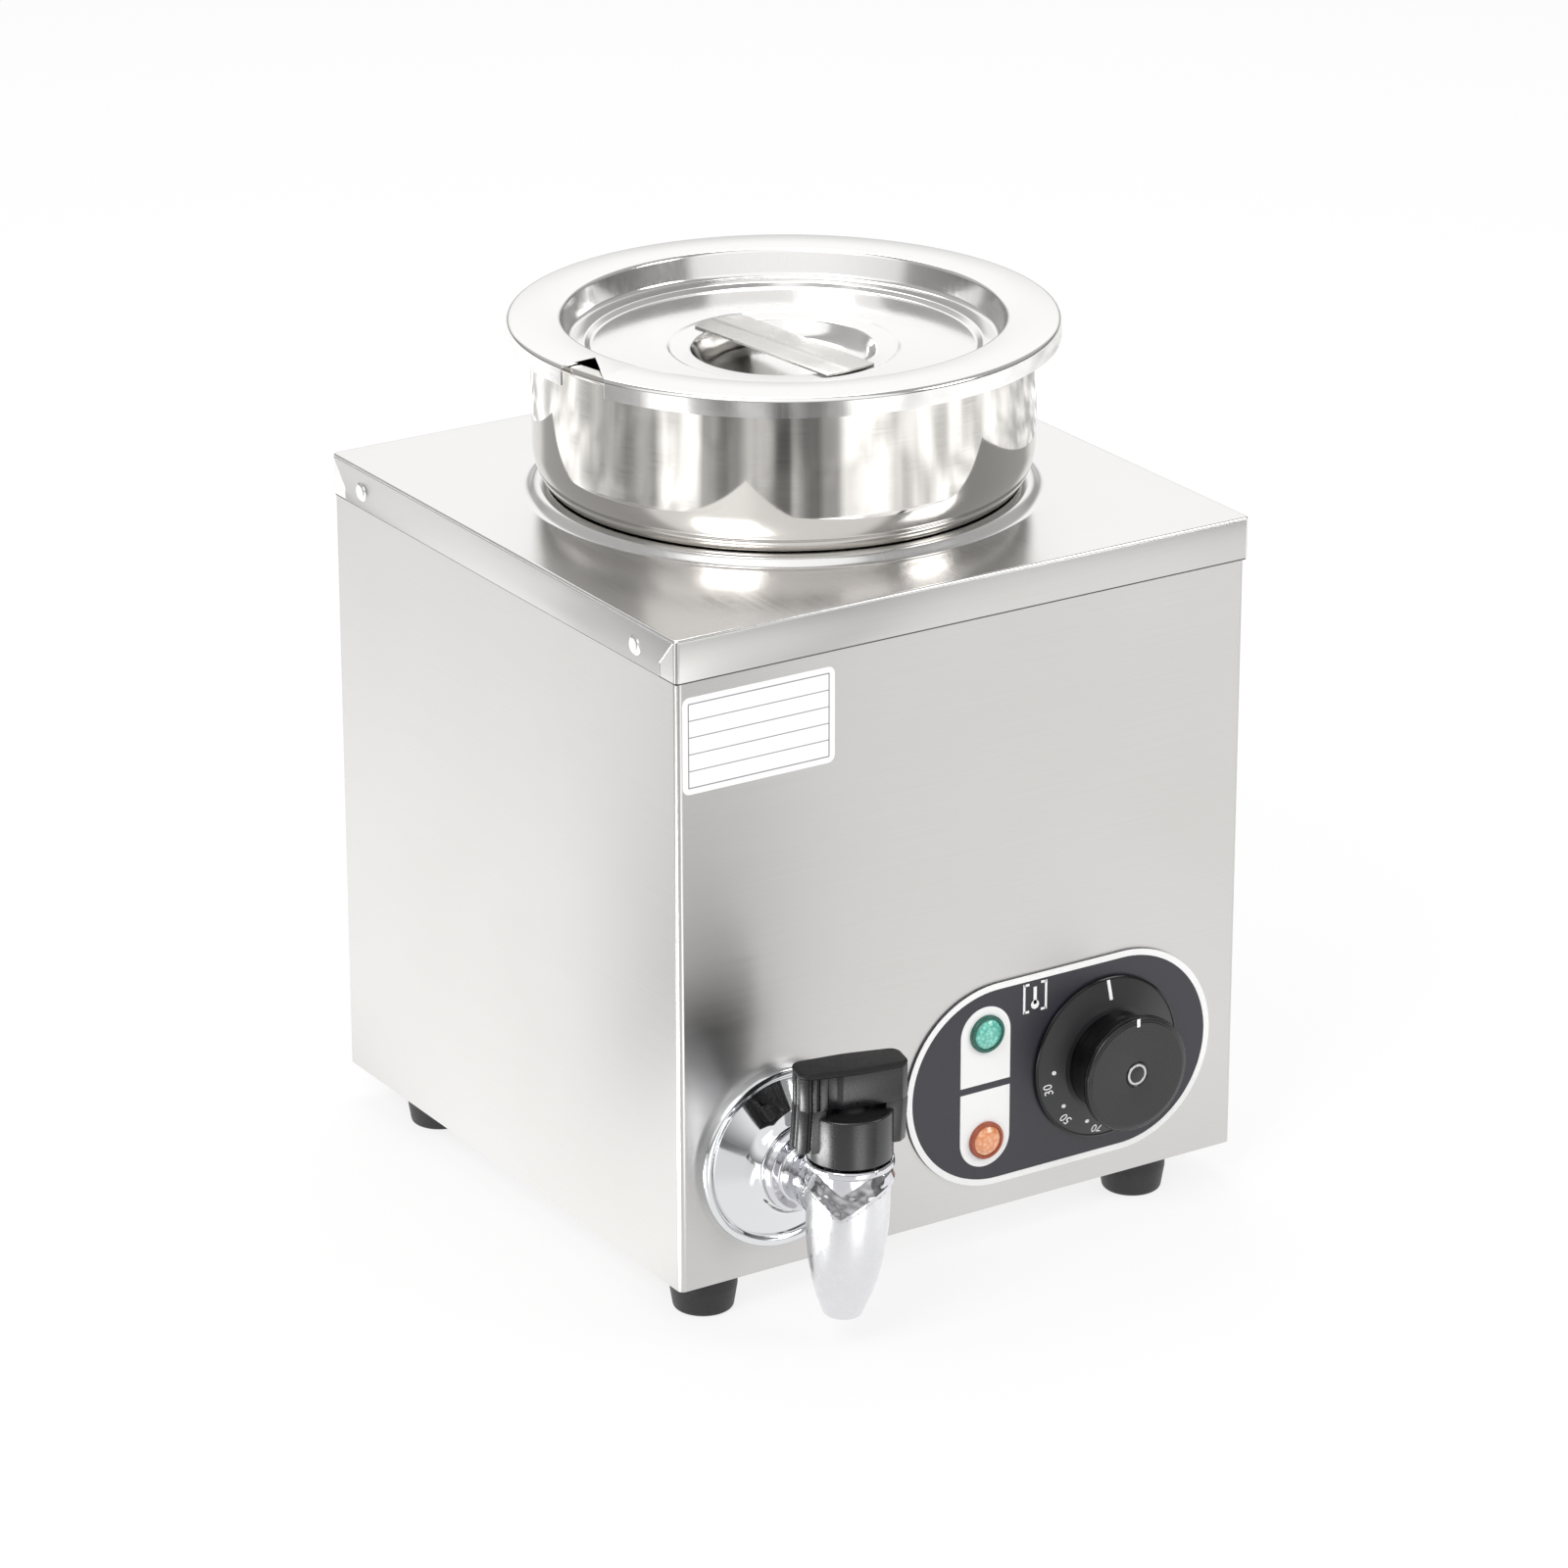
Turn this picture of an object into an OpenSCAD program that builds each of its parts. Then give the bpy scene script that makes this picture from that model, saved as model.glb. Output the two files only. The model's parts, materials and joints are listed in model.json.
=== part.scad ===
// Square wet-heat sauce warmer with a lift-out pot, a lid, a thermostat panel and a drain tap.
// Millimetres. +Z is up, the front faces -Y, and the feet stand on Z = 0.

/* [Casing] */
// Width and depth of the folded casing
casing_w = 263; // [255:1:275]
// Height of the casing walls up to the underside of the cover
casing_h = 268.6; // [262:0.2:276]
// Thickness of the stainless sheet
sheet = 0.8; // [0.6:0.1:1]
// Outer radius of the folded front corners
corner_r = 2.5; // [2:0.5:4]

/* [Cover] */
// Width and depth of the top cover over its skirt
cover_w = 265; // [257:1:277]
// Height of the cover's folded skirt
skirt_h = 17; // [14:1:20]
// Radius of the opening inside the raised collar
opening_r = 92.7; // [92.6:0.1:93.4]
// Radius at which the collar meets the flat top
collar_r = 104.5; // [102:0.5:108]
// Height of the collar above the flat top
collar_h = 4; // [3:0.5:5]
// Radius of the wide rivet heads on the side skirts
rivet_r = 4.2; // [3:0.2:5]

/* [Feet] */
// Height of the rubber feet
foot_h = 15; // [13:1:20]
// Radius of a foot where it meets the base
foot_top_r = 13.5; // [12:0.5:15]
// Radius of a foot where it meets the table
foot_bottom_r = 12; // [10:0.5:13]

/* [Pot and lid] */
// Outer radius of the pot's upper wall
pot_r = 99.2; // [99:0.1:99.4]
// Radius of the round shoulder that hangs in the collar
shoulder_r = 24; // [23.5:0.5:24.5]
// Outer radius of the pot's lower wall
pot_lower_r = 88.5; // [87:0.5:89]
// Height of the lid's rim above the flat cover
lid_rise = 71.3; // [69:0.1:74]
// Outer radius of the lid
lid_r = 109.7; // [109.5:0.1:112]
// Radius of the lid's sunk centre at the rim
recess_r = 88.2; // [87:0.1:90]
// Depth of the lid's sunk centre
recess_depth = 13.1; // [11:0.1:15]
// Width of the strap handle across the dimple
strap_w = 24; // [20:1:28]

/* [Control panel] */
// Overall length of the stadium-shaped panel
panel_l = 146.2; // [140:0.2:150]
// Radius of the panel's ends
panel_r = 43.2; // [41:0.2:44]
// Centre of the panel, to the right of the casing's middle
panel_x = 45.4; // [40:0.2:50]
// Height of the panel's centre line above the casing's bottom edge
panel_up = 54; // [50:1:60]
// Radius of the knob's dial skirt
dial_r = 34.3; // [32:0.1:36]
// Radius of the knob's front edge
grip_r = 24.4; // [22:0.1:26]
// Reach of the knob in front of the casing
knob_reach = 24.2; // [23:0.2:26]

/* [Tap] */
// Centre of the tap, to the left of the casing's middle
tap_x = -85.5; // [-88:0.5:-80]
// Height of the tap's inlet above the casing's bottom edge
tap_up = 48.5; // [46:0.5:52]
// Distance from the casing's front to the tap's upright axis
tap_reach = 49; // [47:1:54]
// Outer radius of the round flange plate
flange_r = 37.5; // [34:0.5:39]
// Outer radius of the tap's barrel under the handle
barrel_r = 17.3; // [17.1:0.1:18]
// Radius of the outlet bore at the spout's mouth
outlet_r = 5.5; // [4.5:0.5:6]
// Half length of the handle's wing
wing_l = 22; // [20:0.5:26]

/* [Hidden] */
$fn = 64;

// Heights above the table
base_z = foot_h;
cover_z = base_z + casing_h + sheet;
panel_z = base_z + panel_up;
tap_z = base_z + tap_up;
half_w = casing_w / 2;
half_in = half_w - sheet;

// The casing sits behind the middle of the whole object, because the tap stands out in front
gland_out = 22.3;
casing_y = (tap_reach + barrel_r - gland_out) / 2;

// Colours as the photograph shows them
steel = "#CFCFCC";
polished = "#E6E4E0";
rubber = "#1E1E20";
panel_dark = "#4A494F";
black = "#2A2A2C";
white = "#F4F4F2";
brass = "#C9A94E";
copper = "#B8734A";

// Returns of the casing sheet
bottom_return = 24;
rear_return = 14;

// Feet, as [x, y] from the casing's middle
foot_left = -113;
foot_right = 92;
foot_front = -118;
foot_rear = 90;
foot_spots = [
    [foot_left, foot_front], [foot_right, foot_front], [foot_left, foot_rear], [foot_right, foot_rear]
];
foot_screw_r = 2;

// Screws that join the base plate to the casing's bottom returns
base_screw_in = 119;
base_screw_spots = [
    [-30, -base_screw_in], [50, -base_screw_in], [-base_screw_in, -10], [base_screw_in, -10],
    [base_screw_in, 105]
];
self_tapper_r = 1.6;
small_head_r = 3.6;

// Screws of the rear panel
rear_screw_x = 124;
rear_screw_z = [40, 150, 255];
upstand_h = 15;
upstand_screw_x = 60;

// Rivets of the cover, from the casing's middle
rivet_front = -104;
rivet_rear = 108;
rivet_shank_r = 1.9;
rivet_head_h = 1.2;
rivet_z = cover_z - 9.9;

// Lamps and knob
lamp_x = 9.8;
lamp_gap = 23;
lamp_hole_r = 5.8;
lens_r = 6.3;
bezel_r = 7.8;
pill_x = 9.5;
pill_r = 11.75;
pill_half = 34.3;
pill_split = 1.5;
knob_x = 67;
panel_t = 1;
print_t = 0.2;
shaft_r = 3;
running_gap = 0.05;
bushing_r = 5;
thermostat_screw_x = 14;
thermostat_depth = 26;

// Tap
shank_r = 10.5;
neck_r = 12.5;
neck_collar_r = 18;
flange_rise = 14.6;
pipe_r = 8;
pipe_in_r = 6.5;
union_joint = 19.5;
passage_r = 6;
plug_r = 9;
plug_bottom = -10.2;
plug_h = 27.9;
port_r = 4.5;
stem_r = 5;
stem_top = 46;
pin_r = 1.5;
pin_up = 31.5;
pin_half = 14;
crown_top = 18;
spout_tilt = 5;
spout_top_up = 8.5;
spout_joint = 23;
spout_len = 58.5;
handle_r = 16.7;

// Tank and element
tank_r = 112;
tank_floor_z = 150;
tank_corner_r = 12;
drain_y = -30;
drain_bend_r = 25;
element_r = 62;
element_tube_r = 4;
ferrule_r = 5;
element_z = tank_floor_z + 8;
element_gap = 30;
pin_bottom_z = tank_floor_z - 22;
element_x = element_r * sin(element_gap);
element_y = element_r * cos(element_gap);

// Sensor
capillary_x = 60;
capillary_y = -117;
capillary_r = 1;
bulb_r = 3;
bulb_z = tank_floor_z - 4;
bulb_front = -74;
bulb_rear = 0;
capillary_bend = 12;
capillary_z = panel_z + 18;

// Mains inlet and earth, from the casing's middle
gland_x = 95;
gland_z = 45;
gland_body_r = 8;
gland_bore_r = 4.5;
block_y = 60;
block_x = 20;
block_l = 60;
block_w = 22;
block_h = 18;
block_pitch = 12;
block_top = base_z + sheet + block_h;
earth_x = -30;
earth_y = 85;
earth_r = 2.5;

// Pot
pot_wall = 1;
pot_bottom_z = tank_floor_z + 18;
pot_corner_r = 10;
shoulder_z = cover_z + 20.25;
pot_rim_z = cover_z + lid_rise - 1.2;

// Lid
lid_z = cover_z + lid_rise;
lid_floor = lid_z - recess_depth;
dimple_r = 37;
dimple_step_r = 45;
dimple_depth = 9;
step_down = 0.8;
strap_r = 43.5;
strap_turn = 6.3;
notch_turn = 6;
notch_spread = 60;
notch_in_r = 93;
notch_reach = 60;

// Points of a circular arc from angle a0 to angle a1
function arc(c, r, a0, a1, n = 6) = [
    for (i = [0:n]) let (a = a0 + (a1 - a0) * i / n) c + r * [cos(a), sin(a)]
];

// Unit normal on the right-hand side of the step from a to b
function side(a, b) = let (d = b - a) [d[1], -d[0]] / norm(d);

// The same path moved sideways by t, with mitred corners
function beside(p, t) = [
    for (i = [0:len(p) - 1])
        let (
            m = i == 0 ? side(p[0], p[1]) : side(p[i - 1], p[i]),
            n = i == len(p) - 1 ? m : side(p[i], p[i + 1])
        )
        p[i] + t * (m + n) / (1 + m * n)
];

// Closed outline of a sheet that follows the path p with thickness t on its right-hand side
function sheet_outline(p, t) = let (q = beside(p, t)) concat(p, [for (i = [len(q) - 1:-1:0]) q[i]]);

module in_casing() {
    translate([0, casing_y, 0]) children();
}

// Local X to the right, local Y up and local Z out of the front wall at the given spot
module on_front(x, z) {
    translate([x, casing_y - half_w, z]) rotate([90, 0, 0]) children();
}

module on_rear(x, z) {
    translate([x, casing_y + half_w, z]) rotate([-90, 0, 0]) children();
}

module rounded_square(w, r) {
    square([w - 2 * r, w], center = true);
    square([w, w - 2 * r], center = true);
    for (x = [-1, 1], y = [-1, 1]) translate([x * (w / 2 - r), y * (w / 2 - r)]) circle(r);
}

module stadium(l, r) {
    square([l - 2 * r, 2 * r], center = true);
    for (x = [-1, 1]) translate([x * (l / 2 - r), 0]) circle(r);
}

module tube(r, hole_r, h) {
    difference() {
        cylinder(r = r, h = h);
        translate([0, 0, -1]) cylinder(r = hole_r, h = h + 2);
    }
}

// Hexagon nut lying on Z = 0
module hex_nut(across, hole_r, h) {
    difference() {
        cylinder(d = across / cos(30), h = h, $fn = 6);
        translate([0, 0, -1]) cylinder(r = hole_r, h = h + 2);
    }
}

// Screw with its head above Z = 0 and its shank below
module screw(r, head_r, head_h, l) {
    translate([0, 0, -l]) cylinder(r = r, h = l);
    rotate_extrude() polygon([
        [0, 0], [head_r, 0], [head_r, head_h * 0.5], [head_r * 0.6, head_h], [0, head_h]
    ]);
}

// Round bar through a list of points, slightly swollen at each bend
module rod_run(points, r) {
    knuckle_r = 1.2 * r;
    for (i = [0:len(points) - 2]) {
        d = points[i + 1] - points[i];
        translate(points[i]) rotate([0, acos(d[2] / norm(d)), atan2(d[1], d[0])])
            cylinder(r = r, h = norm(d));
    }
    for (i = [1:len(points) - 2]) translate(points[i]) sphere(r = knuckle_r);
}

module casing_wrap() {
    wall_h = casing_h - 0.2;
    color(steel) in_casing() difference() {
        union() {
            translate([0, 0, base_z]) linear_extrude(wall_h) difference() {
                union() {
                    rounded_square(casing_w, corner_r);
                    translate([-half_w, 0]) square([casing_w, half_w]);
                }
                rounded_square(2 * half_in, corner_r - sheet);
                translate([-half_in, 0]) square([2 * half_in, half_w + 1]);
            }
            for (x = [-1, 1])
                translate([x * (half_in - rear_return / 2), half_in - sheet / 2, base_z + casing_h / 2])
                    cube([rear_return, sheet, wall_h - 4], center = true);
            for (x = [-1, 1]) translate([x * (half_in - bottom_return / 2), 0, base_z + 1.5 * sheet])
                cube([bottom_return, 2 * half_in - 6, sheet], center = true);
            translate([0, -half_in + bottom_return / 2, base_z + 1.5 * sheet])
                cube([2 * half_in - 4, bottom_return, sheet], center = true);
        }
        translate([0, -casing_y, 0]) {
            on_front(tap_x, tap_z) translate([0, 0, -5]) cylinder(r = shank_r + 0.2, h = 10);
            on_front(knob_x, panel_z) translate([0, 0, -5]) cylinder(r = bushing_r, h = 10);
            for (x = [-1, 1]) on_front(knob_x + x * thermostat_screw_x, panel_z) translate([0, 0, -5])
                cylinder(r = foot_screw_r, h = 10);
            for (z = [-1, 1]) on_front(lamp_x, panel_z + z * lamp_gap) translate([0, 0, -5])
                cylinder(r = lamp_hole_r, h = 10);
        }
        for (y = [rivet_front, rivet_rear]) translate([-half_w - 5, y, rivet_z]) rotate([0, 90, 0])
            cylinder(r = rivet_shank_r, h = casing_w + 10);
        for (x = [-1, 1], z = rear_screw_z) translate([x * rear_screw_x, half_w + 5, z]) rotate([90, 0, 0])
            cylinder(r = self_tapper_r, h = 12);
        for (s = base_screw_spots) translate([s[0], s[1], base_z - 1]) cylinder(r = self_tapper_r, h = 5);
        for (s = foot_spots) translate([s[0], s[1], base_z - 1]) cylinder(r = foot_screw_r, h = 5);
    }
}

module rear_panel() {
    panel_h = casing_h - 1;
    slot_l = 52;
    slot_h = 4;
    slot_x = 45;
    slot_low_z = 185;
    slot_pitch = 12;
    color(steel) in_casing() difference() {
        translate([-half_in + 0.2, half_in, base_z + 0.2]) cube([2 * half_in - 0.4, sheet, panel_h]);
        for (x = [-1, 1], row = [0:4])
            translate([x * slot_x - slot_l / 2, half_in - 1, slot_low_z + slot_pitch * row])
                cube([slot_l, 4, slot_h]);
        for (x = [-1, 1], z = rear_screw_z) translate([x * rear_screw_x, half_w + 5, z]) rotate([90, 0, 0])
            cylinder(r = self_tapper_r, h = 12);
        for (x = [-1, 1]) translate([x * upstand_screw_x, half_w + 5, base_z + upstand_h / 2])
            rotate([90, 0, 0]) cylinder(r = self_tapper_r, h = 12);
        translate([gland_x, half_w + 5, gland_z]) rotate([90, 0, 0]) cylinder(r = gland_body_r, h = 12);
    }
}

module rear_screws() {
    head_h = 1.8;
    screw_l = 8;
    color(polished) {
        for (x = [-1, 1], z = rear_screw_z) on_rear(x * rear_screw_x, z)
            screw(self_tapper_r, small_head_r, head_h, screw_l);
        for (x = [-1, 1]) on_rear(x * upstand_screw_x, base_z + upstand_h / 2)
            screw(self_tapper_r, small_head_r, head_h, screw_l);
    }
}

module base_plate() {
    half_base = half_in - 0.2;
    vent_l = 60;
    vent_w = 5;
    vent_x = -20;
    vent_y = -70;
    vent_pitch = 14;
    color(steel) in_casing() difference() {
        union() {
            translate([-half_base, -half_base, base_z]) cube([2 * half_base, 2 * half_base, sheet]);
            translate([-half_base + rear_return + 2, half_in - sheet, base_z])
                cube([2 * (half_base - rear_return - 2), sheet, upstand_h]);
        }
        for (row = [0:4]) translate([vent_x - vent_l / 2, vent_y + vent_pitch * row, base_z - 1])
            cube([vent_l, vent_w, 3]);
        for (s = base_screw_spots) translate([s[0], s[1], base_z - 1]) cylinder(r = self_tapper_r, h = 5);
        for (s = foot_spots) translate([s[0], s[1], base_z - 1]) cylinder(r = foot_screw_r, h = 5);
        for (x = [-1, 1]) translate([x * upstand_screw_x, half_w + 5, base_z + upstand_h / 2])
            rotate([90, 0, 0]) cylinder(r = self_tapper_r, h = 12);
        translate([earth_x, earth_y, base_z - 1]) cylinder(r = earth_r, h = 5);
    }
}

module base_screws() {
    color(polished) in_casing() for (s = base_screw_spots)
        translate([s[0], s[1], base_z]) mirror([0, 0, 1]) screw(self_tapper_r, small_head_r, 1.6, 6);
}

// Visible path of the collar, from the flat top inwards and down into the opening
collar_path = [
    [opening_r, cover_z - 4], [opening_r, cover_z + collar_h - 0.7], [opening_r + 0.7, cover_z + collar_h],
    [opening_r + 2.8, cover_z + collar_h], [opening_r + 5.3, cover_z + 0.78 * collar_h],
    [opening_r + 7.8, cover_z + 0.42 * collar_h], [collar_r - 1.5, cover_z + 0.12 * collar_h],
    [collar_r, cover_z], [collar_r + 1, cover_z]
];

module top_cover() {
    color(steel) in_casing() {
        difference() {
            translate([0, 0, cover_z - skirt_h]) linear_extrude(skirt_h) rounded_square(cover_w, 1.4);
            translate([0, 0, cover_z - skirt_h - 1]) linear_extrude(skirt_h + 1 - sheet)
                rounded_square(cover_w - 2 * sheet, 0.6);
            translate([0, 0, cover_z - 5]) cylinder(r = collar_r, h = 10);
            for (y = [rivet_front, rivet_rear]) translate([-half_w - 5, y, rivet_z]) rotate([0, 90, 0])
                cylinder(r = rivet_shank_r, h = casing_w + 10);
        }
        rotate_extrude() polygon(sheet_outline(collar_path, sheet));
    }
}

module cover_rivets() {
    color(polished) in_casing() for (s = [-1, 1], y = [rivet_front, rivet_rear])
        translate([s * cover_w / 2, y, rivet_z]) rotate([0, s * 90, 0])
            screw(rivet_shank_r, rivet_r, rivet_head_h, 4);
}

module foot(spot) {
    recess_h = 6;
    recess_in_r = 4.2;
    color(rubber) in_casing() translate([spot[0], spot[1], 0]) difference() {
        rotate_extrude() polygon([
            [0, 0], [foot_bottom_r - 1.5, 0], [foot_bottom_r - 0.4, 0.5], [foot_bottom_r + 0.2, 1.6],
            [foot_top_r - 0.5, foot_h - 4], [foot_top_r, foot_h - 3], [foot_top_r, foot_h], [0, foot_h]
        ]);
        translate([0, 0, -1]) cylinder(r = recess_in_r, h = recess_h + 1);
        cylinder(r = foot_screw_r, h = foot_h + 1);
    }
}

module foot_front_left() {
    foot(foot_spots[0]);
}

module foot_front_right() {
    foot(foot_spots[1]);
}

module foot_rear_left() {
    foot(foot_spots[2]);
}

module foot_rear_right() {
    foot(foot_spots[3]);
}

module foot_screws() {
    color(polished) in_casing() for (s = foot_spots) translate([s[0], s[1], 6]) mirror([0, 0, 1])
        screw(foot_screw_r, 3.8, 2.4, 16);
}

// The rear right foot lies clear of the casing's bottom returns, so a washer fills that height
module foot_nuts() {
    nut_z = base_z + 2 * sheet;
    color(polished) in_casing() for (s = foot_spots) translate([s[0], s[1], 0]) {
        translate([0, 0, nut_z]) hex_nut(7, foot_screw_r, 3.2);
        if (s == foot_spots[3]) translate([0, 0, base_z + sheet]) tube(5, foot_screw_r, sheet);
    }
}

module water_tank() {
    path = concat(
        [[0, tank_floor_z]],
        arc([tank_r - tank_corner_r, tank_floor_z + tank_corner_r], tank_corner_r, -90, 0),
        [[tank_r, cover_z - sheet], [tank_r + 9, cover_z - sheet]]
    );
    color(polished) in_casing() difference() {
        rotate_extrude() polygon(sheet_outline(path, sheet));
        translate([tap_x, drain_y, tank_floor_z - 5]) cylinder(r = pipe_r, h = 10);
        for (x = [-1, 1]) translate([x * element_x, element_y, tank_floor_z - 5])
            cylinder(r = ferrule_r, h = 10);
    }
}

module heating_element() {
    color("#8A8A8C") in_casing() {
        rotate([0, 0, 90 + element_gap]) translate([0, 0, element_z])
            rotate_extrude(angle = 360 - 2 * element_gap) translate([element_r, 0]) circle(element_tube_r);
        for (x = [-1, 1]) translate([x * element_x, element_y, tank_floor_z - 10])
            cylinder(r = ferrule_r, h = element_z + ferrule_r - tank_floor_z + 10);
    }
}

module element_gaskets() {
    color(rubber) in_casing() for (x = [-1, 1]) translate([x * element_x, element_y, tank_floor_z])
        tube(9, ferrule_r, 2);
}

module element_nuts() {
    color(brass) in_casing() for (x = [-1, 1]) translate([x * element_x, element_y, tank_floor_z - sheet - 6])
        hex_nut(17, ferrule_r, 6);
}

module element_pins() {
    color(polished) in_casing() for (x = [-1, 1]) translate([x * element_x, element_y, pin_bottom_z])
        cylinder(r = 1.8, h = 12);
}

module drain_pipe() {
    leg_y = drain_y - drain_bend_r;
    leg_l = leg_y + half_w - union_joint;
    rise = tank_floor_z - tap_z - drain_bend_r;
    color(polished) in_casing() translate([tap_x, 0, tap_z]) {
        translate([0, leg_y, 0]) rotate([90, 0, 0]) tube(pipe_r, pipe_in_r, leg_l);
        translate([0, leg_y, drain_bend_r]) rotate([0, 90, 0]) rotate_extrude(angle = 90)
            translate([drain_bend_r, 0]) difference() {
                circle(pipe_r);
                circle(pipe_in_r);
            }
        translate([0, drain_y, drain_bend_r]) tube(pipe_r, pipe_in_r, rise);
    }
}

module drain_union() {
    inner_end = 30;
    outer_end = 14;
    color(brass) on_front(tap_x, tap_z) difference() {
        translate([0, 0, -inner_end]) cylinder(d = 30, h = inner_end - outer_end, $fn = 6);
        translate([0, 0, -inner_end - 1]) cylinder(r = pipe_r, h = 20);
        translate([0, 0, -union_joint]) cylinder(r = shank_r, h = 10);
    }
}

module tap_flange() {
    path = [
        [12, flange_rise], [18.5, flange_rise], [20.5, 13.4], [24, 9.4], [28, 6], [31.5, 4],
        [33, 3.7], [34.2, 4.3], [35.4, 4.5], [36.7, 4], [flange_r, 2.8], [flange_r, 0]
    ];
    color(polished) on_front(tap_x, tap_z) rotate_extrude() polygon(sheet_outline(path, 1.2));
}

module tap_seal() {
    color(rubber) on_front(tap_x, tap_z) tube(26, shank_r, 2);
}

// Outer shape of the barrel and spout, hanging from Z = 0 along -Z
module nozzle(from, to) {
    outline = [
        [17, 0], [16.9, -13], [15.4, -27], [13, -42], [10.4, -52], [8.4, -57.3], [7.6, -spout_len],
        [0, -spout_len], [0, 0]
    ];
    intersection() {
        rotate_extrude() polygon(outline);
        translate([-20, -20, -to]) cube([40, 40, to - from]);
    }
}

// On the tap's upright axis, at the height of its inlet
module on_tap_axis() {
    translate([tap_x, casing_y - half_w - tap_reach, tap_z]) children();
}

module tap_body() {
    apron_tip = -5.5;
    apron_side = 8.5;
    apron_w = 18;
    color(polished) difference() {
        union() {
            on_front(tap_x, tap_z) {
                translate([0, 0, -19]) cylinder(r = shank_r, h = 60);
                translate([0, 0, flange_rise]) rotate_extrude() polygon([
                    [0, 0], [neck_collar_r - 0.6, 0], [neck_collar_r, 0.8], [neck_collar_r, 3],
                    [neck_collar_r - 1, 4], [neck_r + 1, 4.2], [neck_r, 5.4], [neck_r, 26], [0, 26]
                ]);
            }
            on_tap_axis() translate([0, 0, spout_top_up]) rotate([spout_tilt, 0, 0]) nozzle(0, spout_joint);
            on_tap_axis() intersection() {
                translate([0, 0, -10]) cylinder(r = barrel_r, h = crown_top + 10);
                rotate([90, 0, -45]) translate([0, 0, -25]) linear_extrude(50)
                    polygon([
                        [-apron_w, crown_top + 2], [apron_w, crown_top + 2], [apron_w, apron_side],
                        [0, apron_tip], [-apron_w, apron_side]
                    ]);
            }
        }
        on_tap_axis() {
            translate([0, 0, -10.5]) cylinder(r = plug_r + running_gap, h = 40);
            translate([0, 0, spout_top_up]) rotate([spout_tilt, 0, 0]) translate([0, 0, -spout_joint - 1])
                cylinder(r = passage_r, h = 20);
        }
        on_front(tap_x, tap_z) translate([0, 0, -20]) cylinder(r = passage_r, h = 20 + tap_reach);
    }
}

module tap_spout() {
    color(polished) on_tap_axis() translate([0, 0, spout_top_up]) rotate([spout_tilt, 0, 0]) difference() {
        nozzle(spout_joint, spout_len);
        translate([0, 0, -spout_len - 1]) cylinder(r = outlet_r, h = spout_len - spout_joint + 2);
    }
}

module tap_locknut() {
    color(brass) on_front(tap_x, tap_z) translate([0, 0, -sheet - 7]) hex_nut(28, shank_r, 7);
}

module tap_bonnet() {
    color(polished) on_tap_axis() translate([0, 0, crown_top]) tube(13, stem_r + running_gap, 5.5);
}

module tap_plug() {
    color("#B9B7B0") on_tap_axis() difference() {
        union() {
            translate([0, 0, plug_bottom]) cylinder(r = plug_r, h = plug_h);
            cylinder(r = stem_r, h = stem_top);
        }
        translate([0, 0, plug_bottom - 0.8]) cylinder(r = port_r, h = 11);
        rotate([0, 90, 0]) cylinder(r = port_r, h = 20);
        translate([-20, 0, pin_up]) rotate([0, 90, 0]) cylinder(r = pin_r, h = 40);
    }
}

module tap_handle() {
    base_up = 18.8;
    base_h = 20.7;
    neck_in_r = 8.5;
    slab_up = 43;
    slab_h = 14;
    wing_w = 9;
    wing_corner = 3.5;
    wing_turn = -13;
    lug_up = 24;
    lug_in = 12;
    lug_w = 8;
    cavity_r = 13.5;
    cavity_top = 24.5;
    color(black) on_tap_axis() difference() {
        union() {
            translate([0, 0, base_up]) cylinder(r = handle_r, h = base_h);
            translate([0, 0, base_up + base_h]) cylinder(r = neck_in_r, h = slab_up - base_up - base_h);
            rotate([0, 0, wing_turn]) {
                translate([0, 0, slab_up]) linear_extrude(slab_h) polygon([
                    for (s = [-1, 1]) each [
                        [s * wing_l, s * (wing_corner - wing_w)], [s * wing_l, s * (wing_w - wing_corner)],
                        [s * (wing_l - wing_corner), s * wing_w], [s * (wing_corner - wing_l), s * wing_w]
                    ]
                ]);
                for (s = [-1, 1]) translate([s * (wing_l + lug_in) / 2, 0, (lug_up + slab_up + 1) / 2])
                    cube([wing_l - lug_in, 2 * lug_w, slab_up + 1 - lug_up], center = true);
            }
        }
        translate([0, 0, 10]) cylinder(r = cavity_r, h = cavity_top - 10);
        cylinder(r = stem_r, h = stem_top);
        translate([-pin_half, 0, pin_up]) rotate([0, 90, 0]) cylinder(r = pin_r, h = 2 * pin_half);
    }
}

module tap_handle_pin() {
    color(steel) on_tap_axis() translate([-pin_half, 0, pin_up]) rotate([0, 90, 0])
        cylinder(r = pin_r, h = 2 * pin_half);
}

module panel_holes() {
    translate([0, 0, -1]) {
        for (z = [-1, 1]) translate([lamp_x, z * lamp_gap, 0]) cylinder(r = lamp_hole_r, h = 10);
        translate([knob_x, 0, 0]) cylinder(r = bushing_r, h = 10);
        for (x = [-1, 1]) translate([knob_x + x * thermostat_screw_x, 0, 0])
            cylinder(r = foot_screw_r, h = 10);
    }
}

module panel_plate() {
    color(panel_dark) on_front(0, panel_z) difference() {
        translate([panel_x, 0, 0]) linear_extrude(panel_t) stadium(panel_l, panel_r);
        panel_holes();
    }
}

module panel_border() {
    border_w = 2.6;
    color(white) on_front(panel_x, panel_z) translate([0, 0, panel_t]) linear_extrude(print_t) difference() {
        stadium(panel_l, panel_r);
        stadium(panel_l - 2 * border_w, panel_r - border_w);
    }
}

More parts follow.
